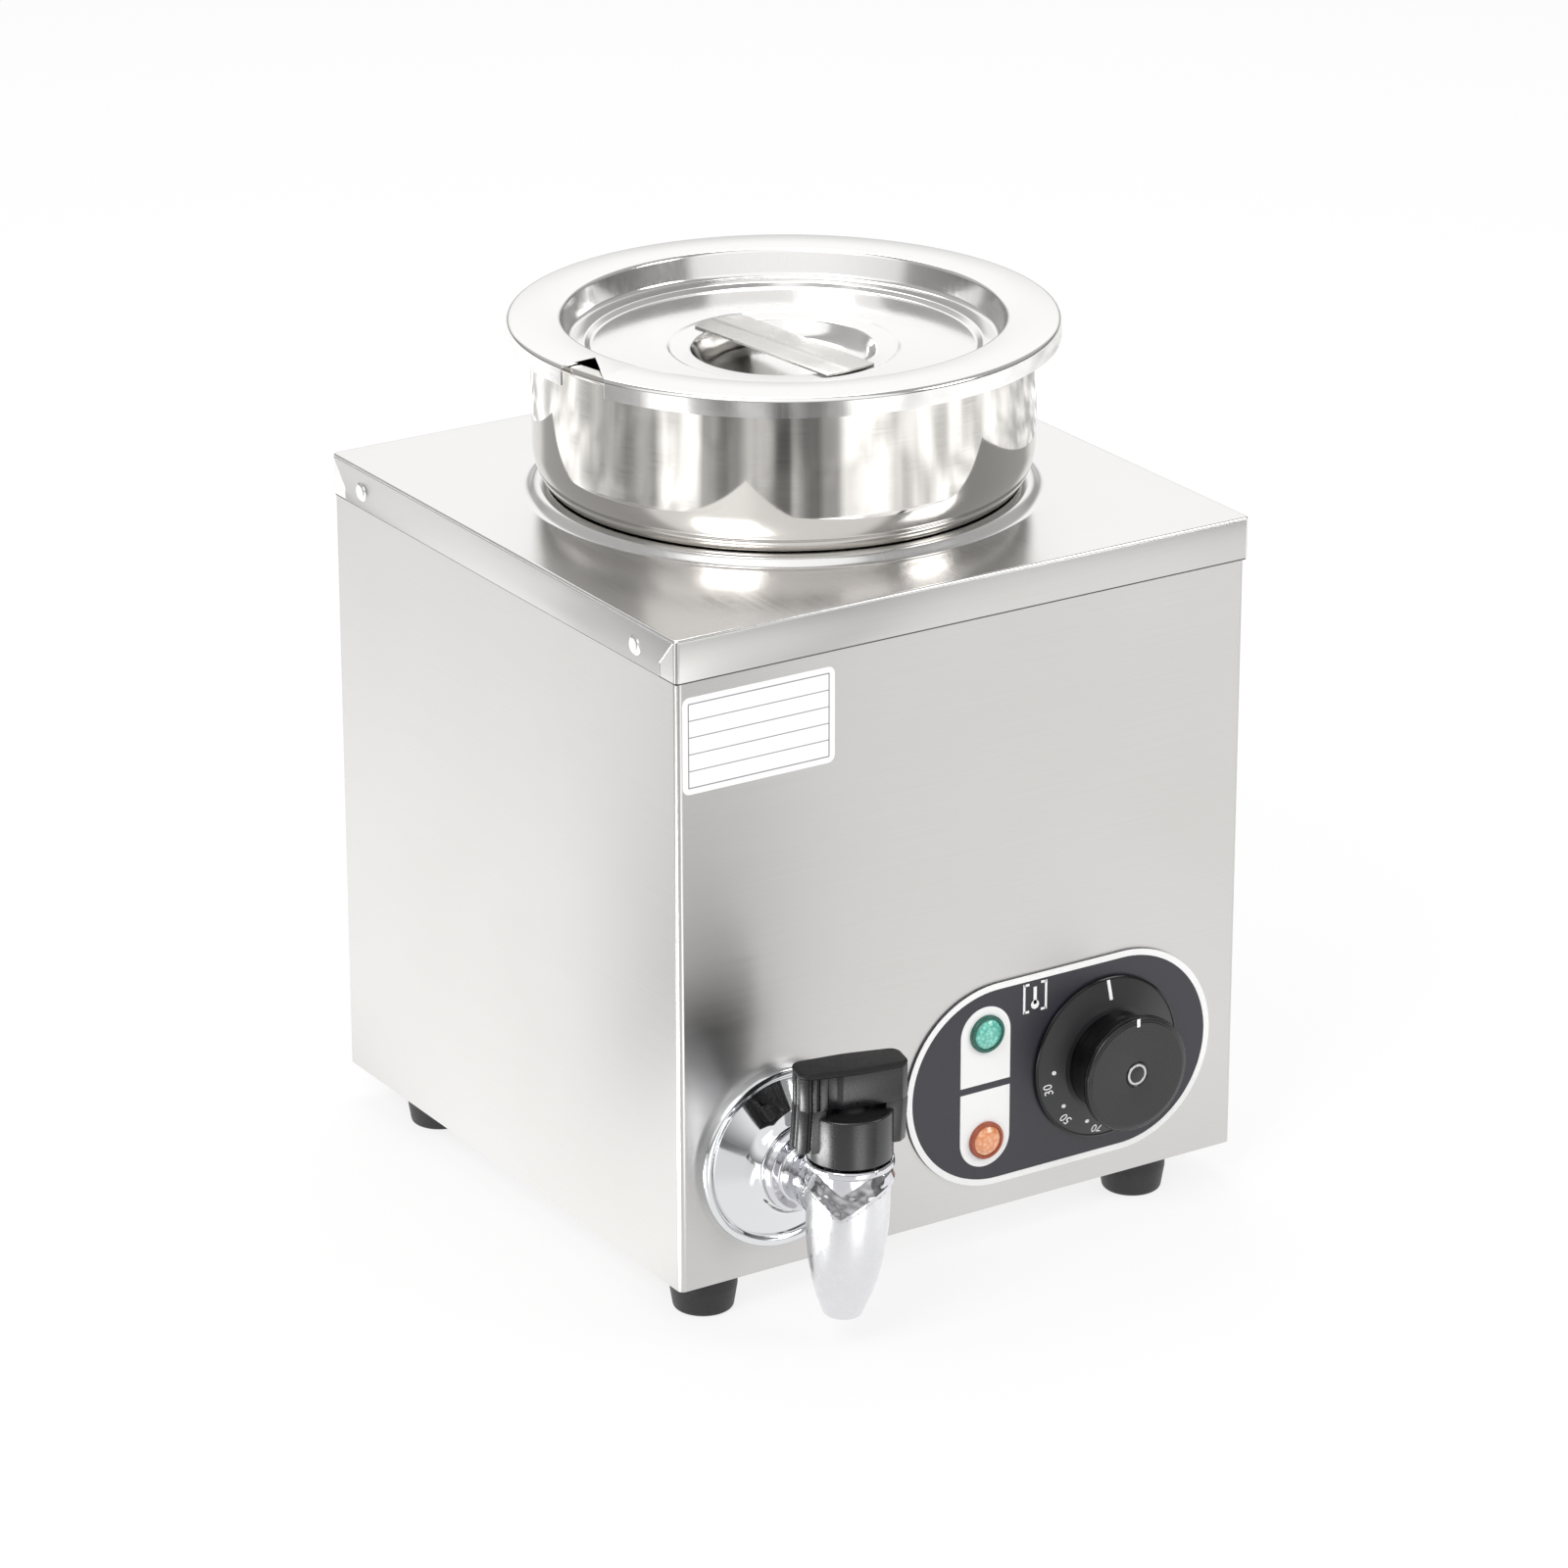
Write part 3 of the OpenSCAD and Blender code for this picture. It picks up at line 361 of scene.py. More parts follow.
def turned_plastic():
    """Black ABS face with the fine rings of a turning tool, drawn 0.9 mm apart so that they show."""
    ring_gap = 0.9
    material, tree, where = new_material("turned black ABS face")
    middle = (-knob_at.x * MM, 0, -knob_at.z * MM)
    centred = add(tree, "ShaderNodeMapping", {"Vector": where, "Location": middle, "Scale": (1, 0, 1)})
    radius = add(tree, "ShaderNodeVectorMath", {0: centred}, operation="LENGTH").outputs["Value"]
    rings = add(tree, "ShaderNodeMath", {0: radius, 1: 2 * math.pi / (ring_gap * MM)}, operation="MULTIPLY")
    ridge = add(tree, "ShaderNodeMath", {0: rings}, operation="SINE")
    dull = add(tree, "ShaderNodeMapRange", {"Value": ridge, "From Min": -1.0, "To Min": 0.16, "To Max": 0.28})
    bump = add(tree, "ShaderNodeBump", {"Height": ridge, "Strength": 0.5, "Distance": 0.05 * MM})
    shader = add(tree, "ShaderNodeBsdfPrincipled", {
        "Base Color": paint("#151516"), "Roughness": dull, "Normal": bump,
    })
    add(tree, "ShaderNodeOutputMaterial", {"Surface": shader})
    return material


# Belt-brushed with level lines, so reflections stretch upwards
wall_steel = brushed_steel("brushed 304 wall sheet", "#C6C5C4", "#BFBEBC", (60, 60, 0.5), 0.3, (0, 0, 1))
# The cover's grain runs front to back. Its tint is lighter than the wall sheet's, a painted highlight for the
# light on the top
cover_steel_painted_light = brushed_steel("brushed 304 cover sheet with painted highlight", "#E4E3E2", "#DEDDDC", (0.5, 60, 60), 0.19)
tank_steel = brushed_steel("drawn 304 tank sheet", "#B4B4B2", "#A9A9A7", (8, 8, 1.2), 0.35)
pot_steel = polished_steel("polished 304 pot", "#D6D3CF", 0.05)
lid_steel = polished_steel("satin 304 lid", "#E6E5E4", 0.13, (0.9, 0.9, 30), 0.08, 70)
strap_steel = polished_steel("satin 304 strap", "#C3C1BE", 0.28, (20, 20, 20), 0.05, 30)
# Chromium plate over brass: a slightly cool mirror, darker than polished steel
chrome = polished_steel("chromium plate", "#CFD0D2", 0.06, (6, 6, 6), 0.06, 14)
# The cast barrel is less even under its plate, which breaks its reflections into blobs
cast_chrome = polished_steel("chromium plate on rough casting", "#C6C6CA", 0.08, (6, 6, 6), 0.7, 6)
# The spout has a soft blasted finish under its plate
satin_chrome = polished_steel("satin chromium plate", "#D2D2D4", 0.3, (3, 3, 3), 0.03, 14)
fastener_steel = plain_metal("zinc-plated steel", "#B9BABA", 0.28)
rivet_steel = plain_metal("bright aluminium rivet", "#EDEDEC", 0.2)
turned_brass = plain_metal("turned brass", "#C9A85A", 0.25)
drawn_copper = plain_metal("drawn copper", "#BC7A58", 0.3)
element_steel = plain_metal("oxidised nickel alloy tube", "#6E6A66", 0.45, 3)
foot_rubber = moulded_plastic("black EPDM rubber", "#1D1D1F", 0.55, 1.2, 0.06)
# Dark grey for the strip under the cover's skirt: painted shadow of the gap there
shadow_strip_dark = moulded_plastic("dark strip of painted shadow", "#3C3C3A", 0.5, 1.2, 0.02)
handle_plastic = moulded_plastic("satin black phenolic handle", "#151518", 0.27, 0.9, 0.01, 0.6)
handle_top = moulded_plastic("textured black phenolic top", "#1B1B1C", 0.5, 1.1, 0.08, 0.22)
knob_plastic = moulded_plastic("glossy black ABS knob", "#08080A", 0.14, 0.8, 0.004, 0.35)
turned_black = turned_plastic()
dial_plastic = moulded_plastic("satin black ABS dial", "#222224", 0.34, 0.8, 0.02)
gland_plastic = moulded_plastic("black polyamide gland", "#242426", 0.45)
film_plastic = moulded_plastic("dark polyester overlay film", "#2C2B33", 0.38, 1.0, 0.01)
print_white = moulded_plastic("white screen print", "#F3F3F2", 0.45, 1.0, 0.005)
wire_plastic = moulded_plastic("red silicone wire sleeve", "#A03A2E", 0.5)
stoneware = moulded_plastic("cream thermoset housing", "#D8D0BE", 0.5)
green_lens = lamp_lens("green polycarbonate lens", "#3FA392", "#8FE0D0")
orange_lens = lamp_lens("orange polycarbonate lens", "#D98452", "#F3B98E")
green_rim = moulded_plastic("dark green lamp bezel", "#1E5A4C", 0.25)
orange_rim = moulded_plastic("red-brown lamp bezel", "#9A4A2E", 0.25)
vinyl = moulded_plastic("white vinyl sticker", "#F4F4F3", 0.35, 1.5, 0.01)
vinyl_ink = moulded_plastic("grey sticker ink", "#8E8F92", 0.4, 1.5, 0.005)

node_looks = {
    wall_steel: ("casing_wrap", "rear_panel", "base_plate"),
    tank_steel: ("water_tank", "drain_pipe", "bulb_clip"),
    fastener_steel: ("base_screws", "foot_screws", "foot_nuts", "element_pins", "thermostat_screws",
                     "thermostat_shaft", "tap_plug", "tap_handle_pin"),
    chrome: ("tap_bonnet",),
    turned_brass: ("element_nuts", "drain_union", "tap_locknut", "terminal_screws", "earth_stud"),
    drawn_copper: ("capillary", "sensor_bulb"),
    element_steel: ("heating_element",),
    foot_rubber: ("element_gaskets", "tap_seal"),
    knob_plastic: ("cutout",),
    gland_plastic: ("gland_locknut",),
    film_plastic: ("panel_plate",),
    print_white: ("panel_border", "lamp_label_upper", "lamp_label_lower"),
    stoneware: ("lamp_bodies", "thermostat_body", "terminal_block"),
    wire_plastic: ("wire_loom",),
}
for look, names in node_looks.items():
    for name in names:
        slots = nodes[name].data.materials
        slots.clear()
        slots.append(look)


# Top cover

def fold_block(half, low, high, corner, fold):
    """A block with rounded upright corners and a rounded fold round its top."""
    bm = bmesh.new()
    bmesh.ops.create_cube(bm, size=2)
    bmesh.ops.scale(bm, vec=(half, half, (high - low) / 2), verts=bm.verts)
    bmesh.ops.translate(bm, vec=(0, 0, (high + low) / 2), verts=bm.verts)
    upright = [e for e in bm.edges if abs(e.verts[0].co.z - e.verts[1].co.z) > 1]
    bmesh.ops.bevel(bm, geom=upright, offset=corner, segments=6, profile=0.5, affect="EDGES", material=-1)
    rim = [e for e in bm.edges if all(abs(v.co.z - high) < 0.01 for v in e.verts)]
    bmesh.ops.bevel(bm, geom=rim, offset=fold, segments=6, profile=0.5, affect="EDGES", material=-1)
    return bm


def top_cover():
    """Folded cover sheet, with the collar drawn up round its opening."""
    collar_in, collar_out, corner, fold, seam = 93.9, 104.5, 1.8, 1.0, 0.4
    bm = fold_block(cover_hi.x, cover_lo.z, cover_top, corner, fold)
    flat = max(bm.faces, key=lambda f: f.calc_area() * f.normal.z)
    bmesh.ops.inset_region(bm, faces=[flat], thickness=seam, use_even_offset=True)
    floor = min(bm.faces, key=lambda f: f.calc_area() * f.normal.z)
    bmesh.ops.delete(bm, geom=[flat, floor], context="FACES_ONLY")
    path = rounded([
        (collar_out + 1.5, cover_top, 0), (collar_out, cover_top, 0), (collar_out - 2, cover_top, 3.4),
        (collar_in + 5.4, cover_top + collar_h, 3.4), (collar_in, cover_top + collar_h, 1.5),
        (collar_in, cover_top - 4, 0),
    ], 6)
    spin(bm, path)
    level = [e for e in bm.edges if e.is_boundary and all(abs(v.co.z - cover_top) < 0.01 for v in e.verts)]
    bmesh.ops.bridge_loops(bm, edges=level)
    piece("top_cover_sheet", bm, "housing", cover_steel_painted_light, at(0, axis_y, 0), ["top_cover"], sheet_t)


def skirt_flanges():
    """Outer flanges of the cover: a straight one in front, and one on each side that is cut off slantwise
    over the tucked corner tabs."""
    end, cut_z, slant, thick, sunk = cover_hi.x - 1.6, 272.7, 9.5, 0.45, 0.05
    low, high = cover_lo.z, cover_top - 1.2
    straight = [(-end, high), (-end, low), (end, low), (end, high)]
    slanted = [(-end, high), (-end + slant, cut_z), (-end + slant, low), (end - slant, low),
               (end - slant, cut_z), (end, high)]
    for name, outline, degrees in (("front", straight, 0), ("left", slanted, -90), ("right", slanted, 90)):
        turn = rotated(degrees)
        out = turn @ Vector((0, -cover_hi.x + sunk, 0))
        piece(f"cover_flange_{name}", slab(outline, thick, 0.15, 2), "housing", wall_steel,
              at(out.x, axis_y + out.y, 0, turn @ rotated(90, "X")))


def skirt_shadow_strip():
    """Thin dark bead between the skirt's lower edge and the casing on the front and both sides, which is
    painted shadow for the gap under the skirt.
    """
    high, stand, sunk, half = 0.9, 0.35, 0.1, (casing_hi.x - casing_lo.x) / 2
    outline = [(-half, -half - stand), (half, -half - stand), (half, -half + sunk), (-half, -half + sunk)]
    shapes = [(slab(outline, high), at(0, axis_y, cover_lo.z - high, rotated(degrees)))
              for degrees in (0, 90, -90)]
    piece("skirt_shadow_strip", gather(*shapes), "housing", shadow_strip_dark)


def rivets():
    """Low domed heads on both side skirts."""
    low, high = box_mm("cover_rivets")
    head = 4.2
    stand = high.x - cover_hi.x
    path = rounded([(0, stand, 0), (head - 1.2, stand, 1.6), (head, 0.2, 0.3), (head, 0, 0)], 5)
    shapes = []
    for side in (-1, 1):
        for y in (low.y + head, high.y - head):
            place = at(side * cover_hi.x, y, (low.z + high.z) / 2, rotated(90 * side, "Y"))
            shapes.append((lathe(path, 40), place))
    piece("rivet_heads", gather(*shapes), "housing", rivet_steel, replaces=["cover_rivets"])


top_cover()
skirt_flanges()
skirt_shadow_strip()
rivets()


# Pot and lid

def pot():
    """Spun pot: a lower part, a shoulder under the wide upper part, and a rolled rim."""
    wall_r, lower_r, shoulder, hollow, wall = 99.2, 88.5, 24, 12.5, 1.0
    rim = pot_hi.z
    bend = cover_top + 20.25
    fall = shoulder * math.tan(math.radians(22.5))
    path = rounded([
        (0, pot_lo.z, 0), (lower_r, pot_lo.z, 10), (lower_r, bend - fall - (wall_r - lower_r), hollow),
        (wall_r, bend - fall, shoulder), (wall_r, rim, 1.5), (105.6, rim, 1.4), (106.9, rim - 1.6, 1.2),
        (106.3, rim - 3.4, 1), (104.4, rim - 3.6, 0),
    ], 8)
    piece("pot_shell", lathe(path, 192), "pot", pot_steel, at(0, axis_y, 0), ["pot"], wall)


# Height of the lid's sunk floor, and of the step in it that carries the strap
lid_floor = lid_hi.z - 13.1
step_down = 0.8


def lid():
    """Lid with a sunk floor, a dimple in its middle and a notch for a ladle in its rim."""
    rim, outer, dimple = lid_hi.z, lid_hi.x, lid_floor - 9
    path = rounded([
        (0, dimple, 0), (32.6, dimple, 9), (37, lid_floor - step_down, 1.6),
        (45, lid_floor - step_down, 1.2), (46.4, lid_floor, 1.2), (76.5, lid_floor, 2),
        (78.8, lid_floor + 1.9, 1.4), (85.6, lid_floor + 1.9, 2.4), (88.2, rim, 1.8), (outer, rim, 1.9),
        (outer, rim - 8, 0),
    ], 6)
    shell = piece("lid_shell", lathe(path, 192), "lid", lid_steel, at(0, axis_y, 0), ["lid"],
                  sheet_t)
    notch_in, reach, turn, spread, depth = 93, 60, 186, math.radians(60), 20
    bite = slab([(notch_in, 0), (notch_in + reach, 0),
                 (notch_in + reach * math.cos(spread), reach * math.sin(spread))], depth)
    cut(shell, bite, at(0, axis_y, rim - 12, rotated(turn)))


def strap():
    """Flat strap whose round ends lie in the step round the dimple, with a shallow fold along its middle."""
    half, reach, thick, turn, crown = 12, 43.5, 1.0, 6.3, 0.5
    bm = bmesh.new()
    bmesh.ops.create_circle(bm, cap_ends=True, radius=reach, segments=144)
    for side in (-1, 1):
        bmesh.ops.bisect_plane(bm, geom=[*bm.verts, *bm.edges, *bm.faces], plane_co=(side * half, 0, 0),
                               plane_no=(side, 0, 0), clear_outer=True)
    for x in (-8, -4, 0, 4, 8):
        bmesh.ops.bisect_plane(bm, geom=[*bm.verts, *bm.edges, *bm.faces], plane_co=(x, 0, 0),
                               plane_no=(1, 0, 0))
    for v in bm.verts:
        v.co.z = crown * (1 - abs(v.co.x) / half)
    raise_faces(bm, list(bm.faces), thick)
    soften(bm, 0.3, 2, crease=40, clamp=False)
    piece("strap_handle", bm, "lid", strap_steel,
          at(0, axis_y, lid_floor - step_down, rotated(turn)), ["lid_strap"])


pot()
lid()
strap()


# Feet

def feet():
    """Tapered rubber feet with a recess for the screw in their sole."""
    recess_r, recess_h = 4.2, 6
    for name in ("foot_front_left", "foot_front_right", "foot_rear_left", "foot_rear_right"):
        low, high = box_mm(name)
        top_r = (high.x - low.x) / 2
        path = rounded([
            (recess_r, recess_h, 0), (recess_r, 0, 0.4), (11.9, 0, 1.7), (top_r, high.z - 5, 2),
            (top_r, high.z, 0.5), (0, high.z, 0),
        ], 5)
        path.insert(0, Vector((0, recess_h)))
        piece(f"{name}_rubber", lathe(path, 72), "housing", foot_rubber,
              at((low.x + high.x) / 2, (low.y + high.y) / 2, 0), [name])


feet()


# Tap

def tap_flange():
    """Round cover plate with a raised edge, which rises to the tap's neck."""
    path = rounded([
        (12, 13.4, 0), (12, 14.6, 0.4), (18.4, 14.6, 1.2), (20.6, 10.4, 9), (33.2, 3.3, 0.8),
        (34.5, 4.8, 0.8), (37.5, 4.6, 1.7), (37.5, 0, 0), (36.2, 0, 0),
    ], 8)
    piece("flange_plate", lathe(path), "housing", chrome, on_front(tap_at.x, tap_at.z),
          ["tap_flange"], angle=50)


# Lowest point of the barrel's lip over the tap's centre, and how the lip rises to both sides
tip, tip_slope = -3.5, 12.5 / 18


def tap_body():
    """Neck with its ring, and the barrel whose lower edge comes down to a point over the spout."""
    outer, wall_r, inner, top, stem_r = 17.3, 15, 14.4, 18, 9.1
    neck = lathe(rounded([
        (0, -19, 0), (10.5, -19, 0.5), (10.5, 14.6, 0), (17.6, 14.6, 0.7), (18, 16.6, 1.4),
        (16.4, 18.8, 1.2), (12.6, 19.6, 1.6), (12, 24, 6), (13.6, 34, 5), (13.6, 46, 0), (0, 46, 0),
    ], 6), 96)
    barrel = lathe(rounded([
        (stem_r, top, 0), (outer, top, 1.0), (outer, top - 2.8, 1.0), (wall_r, top - 4.0, 0.7),
        (wall_r, tip + 1.5, 0), (inner, tip + 1.5, 0), (inner, top - 1, 0), (stem_r, top - 1, 0),
    ], 4), 144, True)
    lip_top = tip + 11
    lip = lathe(rounded([
        (inner, tip, 0.3), (outer, tip, 0.6), (outer, tip + 1.8, 0.4), (16.3, tip + 5.5, 3),
        (wall_r - 0.1, lip_top, 0), (inner, lip_top, 0),
    ], 4), 144, True)
    # The lower edge of both is sheared upwards to either side, as far as the crown lets it
    for shape in (barrel, lip):
        for v in shape.verts:
            if v.co.z < top - 8:
                v.co.z = min(v.co.z + tip_slope * abs(v.co.x), top - 3.5)
    place = at(*tap_at, rotated(-45))
    piece("tap_barrel", gather((barrel, place), (lip, place)), "housing", cast_chrome,
          replaces=["tap_body"])
    stem = piece("tap_neck", neck, "housing", cast_chrome, on_front(tap_at.x, tap_at.z))
    # The neck ends at the barrel's wall and leaves room for the plug
    room_r, room_h = inner + 0.3, 30
    room = lathe([(0, -room_h), (room_r, -room_h), (room_r, room_h), (0, room_h)], 144)
    cut(stem, room, at(*tap_at))


def tap_spout():
    """Outlet nozzle: an ogive of turned brass, polished and plated."""
    top_up, length, top_r, bore, tilt, reach = 8.5, 58.4, 16.3, 5.5, 5, 72
    straight_end, bore_top, narrowed, gap = 57, 20, 0.86, 1.5
    depths = [*range(0, 22), *range(22, straight_end, 5)]
    path = [Vector((0, 0))] + [Vector((top_r * (1 - (d / reach) ** 3), -d)) for d in depths]
    path += rounded([
        (top_r * (1 - (straight_end / reach) ** 3), -straight_end, 0), (7.9, -length, 0.9),
        (bore, -length, 0.5), (bore, -bore_top, 0), (0, -bore_top, 0),
    ], 4)
    nozzle = lathe(path, 96)
    # It narrows where the barrel's lip goes over it
    for v in nozzle.verts:
        across = abs(v.co.x - v.co.y) * math.sqrt(0.5)
        if v.co.z + top_up > tip + tip_slope * across + gap:
            v.co.xy *= narrowed
    place = at(tap_at.x, tap_at.y, tap_at.z + top_up, rotated(tilt, "X"))
    piece("spout_nozzle", nozzle, "housing", satin_chrome, place, ["tap_spout"])


def tap_handle():
    """Moulded handle: a wing over a round skirt, with a ribbed lug under each end, the left one flaring out.
    The wing stands a little askew when the tap is shut."""
    low, high = box_mm("tap_handle")
    askew, wing, skirt_r, ledge, slab_z = -13, 22, 16.7, low.z + 19.8, high.z - 15.8
    cap_h, lug_low, lug_h, flare = 2.6, low.z + 5.2, slab_z - low.z - 4.7, 0.05
    cap = rounded([
        (-wing, -7, 4.5), (0, -8.4, 60), (wing, -7, 4.5), (wing, 7.6, 4.5), (0, 9, 60), (-wing, 7.6, 4.5),
    ], 8)
    # One half of the outline, from the thumb groove at the left end along the grooved front
    half = [
        (-21.7, 2), (-20.6, 1.4), (-20.6, -1.4), (-21.7, -2), (-21.7, -4.6), (-19.2, -7.2), (-18.6, -6),
        (-17.8, -6), (-17.3, -7.3), (-15.8, -7.4), (-15.5, -6.4), (-14.9, -6.4), (-14.6, -7.5),
        (-11.6, -7.6), (-11, -6.4), (-7.4, -6.4), (-5.6, -7.8), (7, -7.8), (18.8, -7), (21.7, -4.6),
    ]
    lug = [
        (-12, 7.2), (-18.8, 7.2), (-21.9, 4.6), (-21.9, 2), (-20.7, 1.4), (-20.7, -1.4), (-21.9, -2),
        (-21.9, -4.6), (-19.4, -7.2), (-18.7, -6), (-17.9, -6), (-17.4, -7.2), (-12, -7.2),
    ]
    skirt = lathe(rounded([
        (0, low.z + 5.7, 0), (13.5, low.z + 5.7, 0.5), (13.5, low.z, 0.4), (skirt_r, low.z, 0.7),
        (skirt_r, ledge, 0.8), (skirt_r - 1.6, ledge, 0.4), (skirt_r - 2, ledge - 0.8, 0),
        (0, ledge - 0.8, 0),
    ], 4), 96)
    neck = lathe(rounded([
        (0, ledge - 1, 0), (14.6, ledge - 1, 0), (14.6, ledge - 0.7, 0.1), (7, ledge - 0.4, 2),
        (5.5, slab_z + 0.5, 0), (0, slab_z + 0.5, 0),
    ], 4), 72)
    place = at(tap_at.x, tap_at.y, 0, rotated(askew))
    wing_slab = slab(half + [(-x, -y) for x, y in half], high.z - 2.1 - slab_z, 0.35, 2)
    shapes = [(wing_slab, place @ Matrix.Translation((0, 0, slab_z))), (skirt, place)]
    cap_place = place @ Matrix.Translation((0, 0, high.z - cap_h))
    top_parts = gather((slab(cap, cap_h, 1.2, 4), cap_place), (neck, place))
    piece("handle_top", top_parts, "tap_handle", handle_top)
    for half_turn, spread in ((0, flare), (180, -flare)):
        end = slab(lug, lug_h, 0.4, 2)
        for v in end.verts:
            v.co.x *= 1 + spread * (1 - v.co.z / lug_h)
        shapes.append((end, place @ Matrix.Translation((0, 0, lug_low)) @ rotated(half_turn)))
    piece("wing_handle", gather(*shapes), "tap_handle", handle_plastic,
          replaces=["tap_handle"])


tap_flange()
tap_body()
tap_spout()
tap_handle()


# Panel, lamps and knob

# Thickness of the overlay film and of the print on it
film_t = 1.0
print_t = 0.2


def lamp(colour, look, rim_look):
    """Low domed lens in its bezel."""
    low, high = box_mm(f"{colour}_lens")
    rim_low, rim_high = box_mm(f"{colour}_bezel")
    lens_r, rim_r = (high.x - low.x) / 2, (rim_high.x - rim_low.x) / 2
    place = on_front((low.x + high.x) / 2, (low.z + high.z) / 2, film_t + print_t)
    dome = lathe(rounded([
        (lens_r - 0.1, 0, 0), (lens_r - 0.1, 1.5, 1.0), (lens_r - 2.2, 3.1, 2.5), (0, 3.6, 0),
    ], 5), 72)
    piece(f"{colour}_lamp_lens", dome, "housing", look, place, [f"{colour}_lens"])
    ring = lathe(rounded([(lens_r, 0, 0), (rim_r, 0, 0), (rim_r, 1.8, 0.7), (lens_r, 1.8, 0.3)], 4), 72, True)
    piece(f"{colour}_lamp_rim", ring, "housing", rim_look, place, [f"{colour}_bezel"])


# The dial's outer radius and the height of its rim, where its edge ring begins, the top of its cone, and
# the radius and height of the grip
dial_r, rim_h, edge_r, cone_r, cone_h, grip_r, knob_h = 34.3, 2.6, 33.2, 22.5, 6.3, 24.4, 24.2


def knob():
    """Thermostat knob: a flat dial cone with a sharp edge, a waisted grip and a dished cap on it."""
    place = on_front(knob_at.x, knob_at.z)
    dial = lathe(rounded([
        (8, 3.2, 0), (30.5, 3.2, 0.4), (31.6, 1.7, 0.4), (edge_r, 1.7, 0), (edge_r, 2.8, 0),
        (cone_r, cone_h, 0.8), (20, 6.6, 0), (8, 6.6, 0),
    ], 4), closed=True)
    piece("dial_plate", dial, "knob", dial_plastic, place, ["dial_skirt"])
    edge = lathe(rounded([
        (edge_r, 1.7, 0), (dial_r, 1.7, 0.3), (dial_r, rim_h, 0.3), (edge_r + 0.2, 3.1, 0.2),
        (edge_r, 2.8, 0),
    ], 4), closed=True)
    piece("dial_edge", edge, "knob", knob_plastic, place)
    grip = lathe(rounded([
        (0, 2, 0), (8, 2, 0), (8, 6.6, 0), (20.6, 6.6, 0), (20.6, 9, 6), (22, 16.5, 20),
        (grip_r, knob_h - 2.6, 0.8), (grip_r, knob_h - 1.4, 0.2), (0, knob_h - 1.4, 0),
    ], 6))
    piece("grip_body", grip, "knob", knob_plastic, place, ["knob_grip"])
    cap = lathe(rounded([
        (0, knob_h - 1.5, 0), (grip_r - 0.5, knob_h - 1.5, 0.1), (grip_r - 0.5, knob_h - 0.6, 0.7),
        (grip_r - 2.6, knob_h, 0.6), (5.6, knob_h - 0.3, 0.3), (4.9, knob_h - 0.9, 0.2), (0, knob_h - 0.9, 0),
    ], 5))
    piece("cap_disc", cap, "knob", turned_black, place, ["knob_cap"])
    ring_in, ring_out, ring_low = 3.4, 4.5, knob_h - 0.95
    boss = lathe(rounded([
        (0, ring_low, 0), (ring_in, ring_low, 0), (ring_in, knob_h - 0.3, 0.3), (0, knob_h - 0.15, 0),
    ], 4), 48)
    piece("cap_centre", boss, "knob", turned_black, place)
    ring = lathe(rounded([
        (ring_in, ring_low, 0), (ring_out, ring_low, 0), (ring_out, knob_h - 0.2, 0.3),
        (ring_in, knob_h - 0.2, 0.2),
    ], 4), 48, True)
    piece("cap_ring", ring, "knob", fastener_steel, place)


def bar(x0, y0, x1, y1, width, height=0.12):
    """A printed line from one point to another, a little proud of the surface."""
    start, end = Vector((x0, y0)), Vector((x1, y1))
    side = (end - start).normalized().orthogonal() * width / 2
    return slab([start - side, end - side, end + side, start + side], height)


def numeral(text, size):
    """A plain figure as a flat mesh, centred on the origin."""
    curve = bpy.data.curves.new("figure", "FONT")
    curve.body = text
    curve.size = size
    curve.extrude = 0.06
    curve.align_x = "CENTER"
    curve.align_y = "CENTER"
    holder = bpy.data.objects.new("figure", curve)
    scene.collection.objects.link(holder)
    bpy.context.view_layer.update()
    mesh = bpy.data.meshes.new_from_object(holder.evaluated_get(bpy.context.evaluated_depsgraph_get()))
    bm = bmesh.new()
    bm.from_mesh(mesh)
    bpy.data.objects.remove(holder)
    bpy.data.meshes.remove(mesh)
    return bm


def dial_marks():
    """White print on the dial skirt: the pointer line, the dots and plain figures for the temperature."""
    slope = math.atan2(cone_h - rim_h, dial_r - cone_r)
    line_w, dot_r, dot_h, figure_h = 1.5, 0.9, 0.1, 5.2

    def on_dial(radius, degrees, lift=0.02):
        height = rim_h + (dial_r - radius) * math.tan(slope) + lift
        lean = Matrix.Rotation(-slope, 4, "X")
        spot = rotated(degrees - 90) @ Matrix.Translation((0, radius, height)) @ lean
        return on_front(knob_at.x, knob_at.z) @ spot

    shapes = [(bar(0, -4, 0, 4, line_w), on_dial(29.4, 90))]
    for degrees in (180, 215, 247, 281, 314):
        shapes.append((lathe([(0, dot_h), (dot_r, dot_h), (dot_r, 0)], 20), on_dial(27, degrees)))
    for figure, degrees in (("30", 194), ("50", 227), ("70", 260), ("90", 293), ("110", 326)):
        shapes.append((numeral(figure, figure_h), on_dial(29.8, degrees, 0.08)))
    piece("dial_print", gather(*shapes), "knob", print_white)
    pointer = bar(0, 20.6, 0, 24.0, line_w, 0.15)
    piece("cap_pointer", pointer, "knob", print_white,
          on_front(knob_at.x, knob_at.z, knob_h - 0.15))


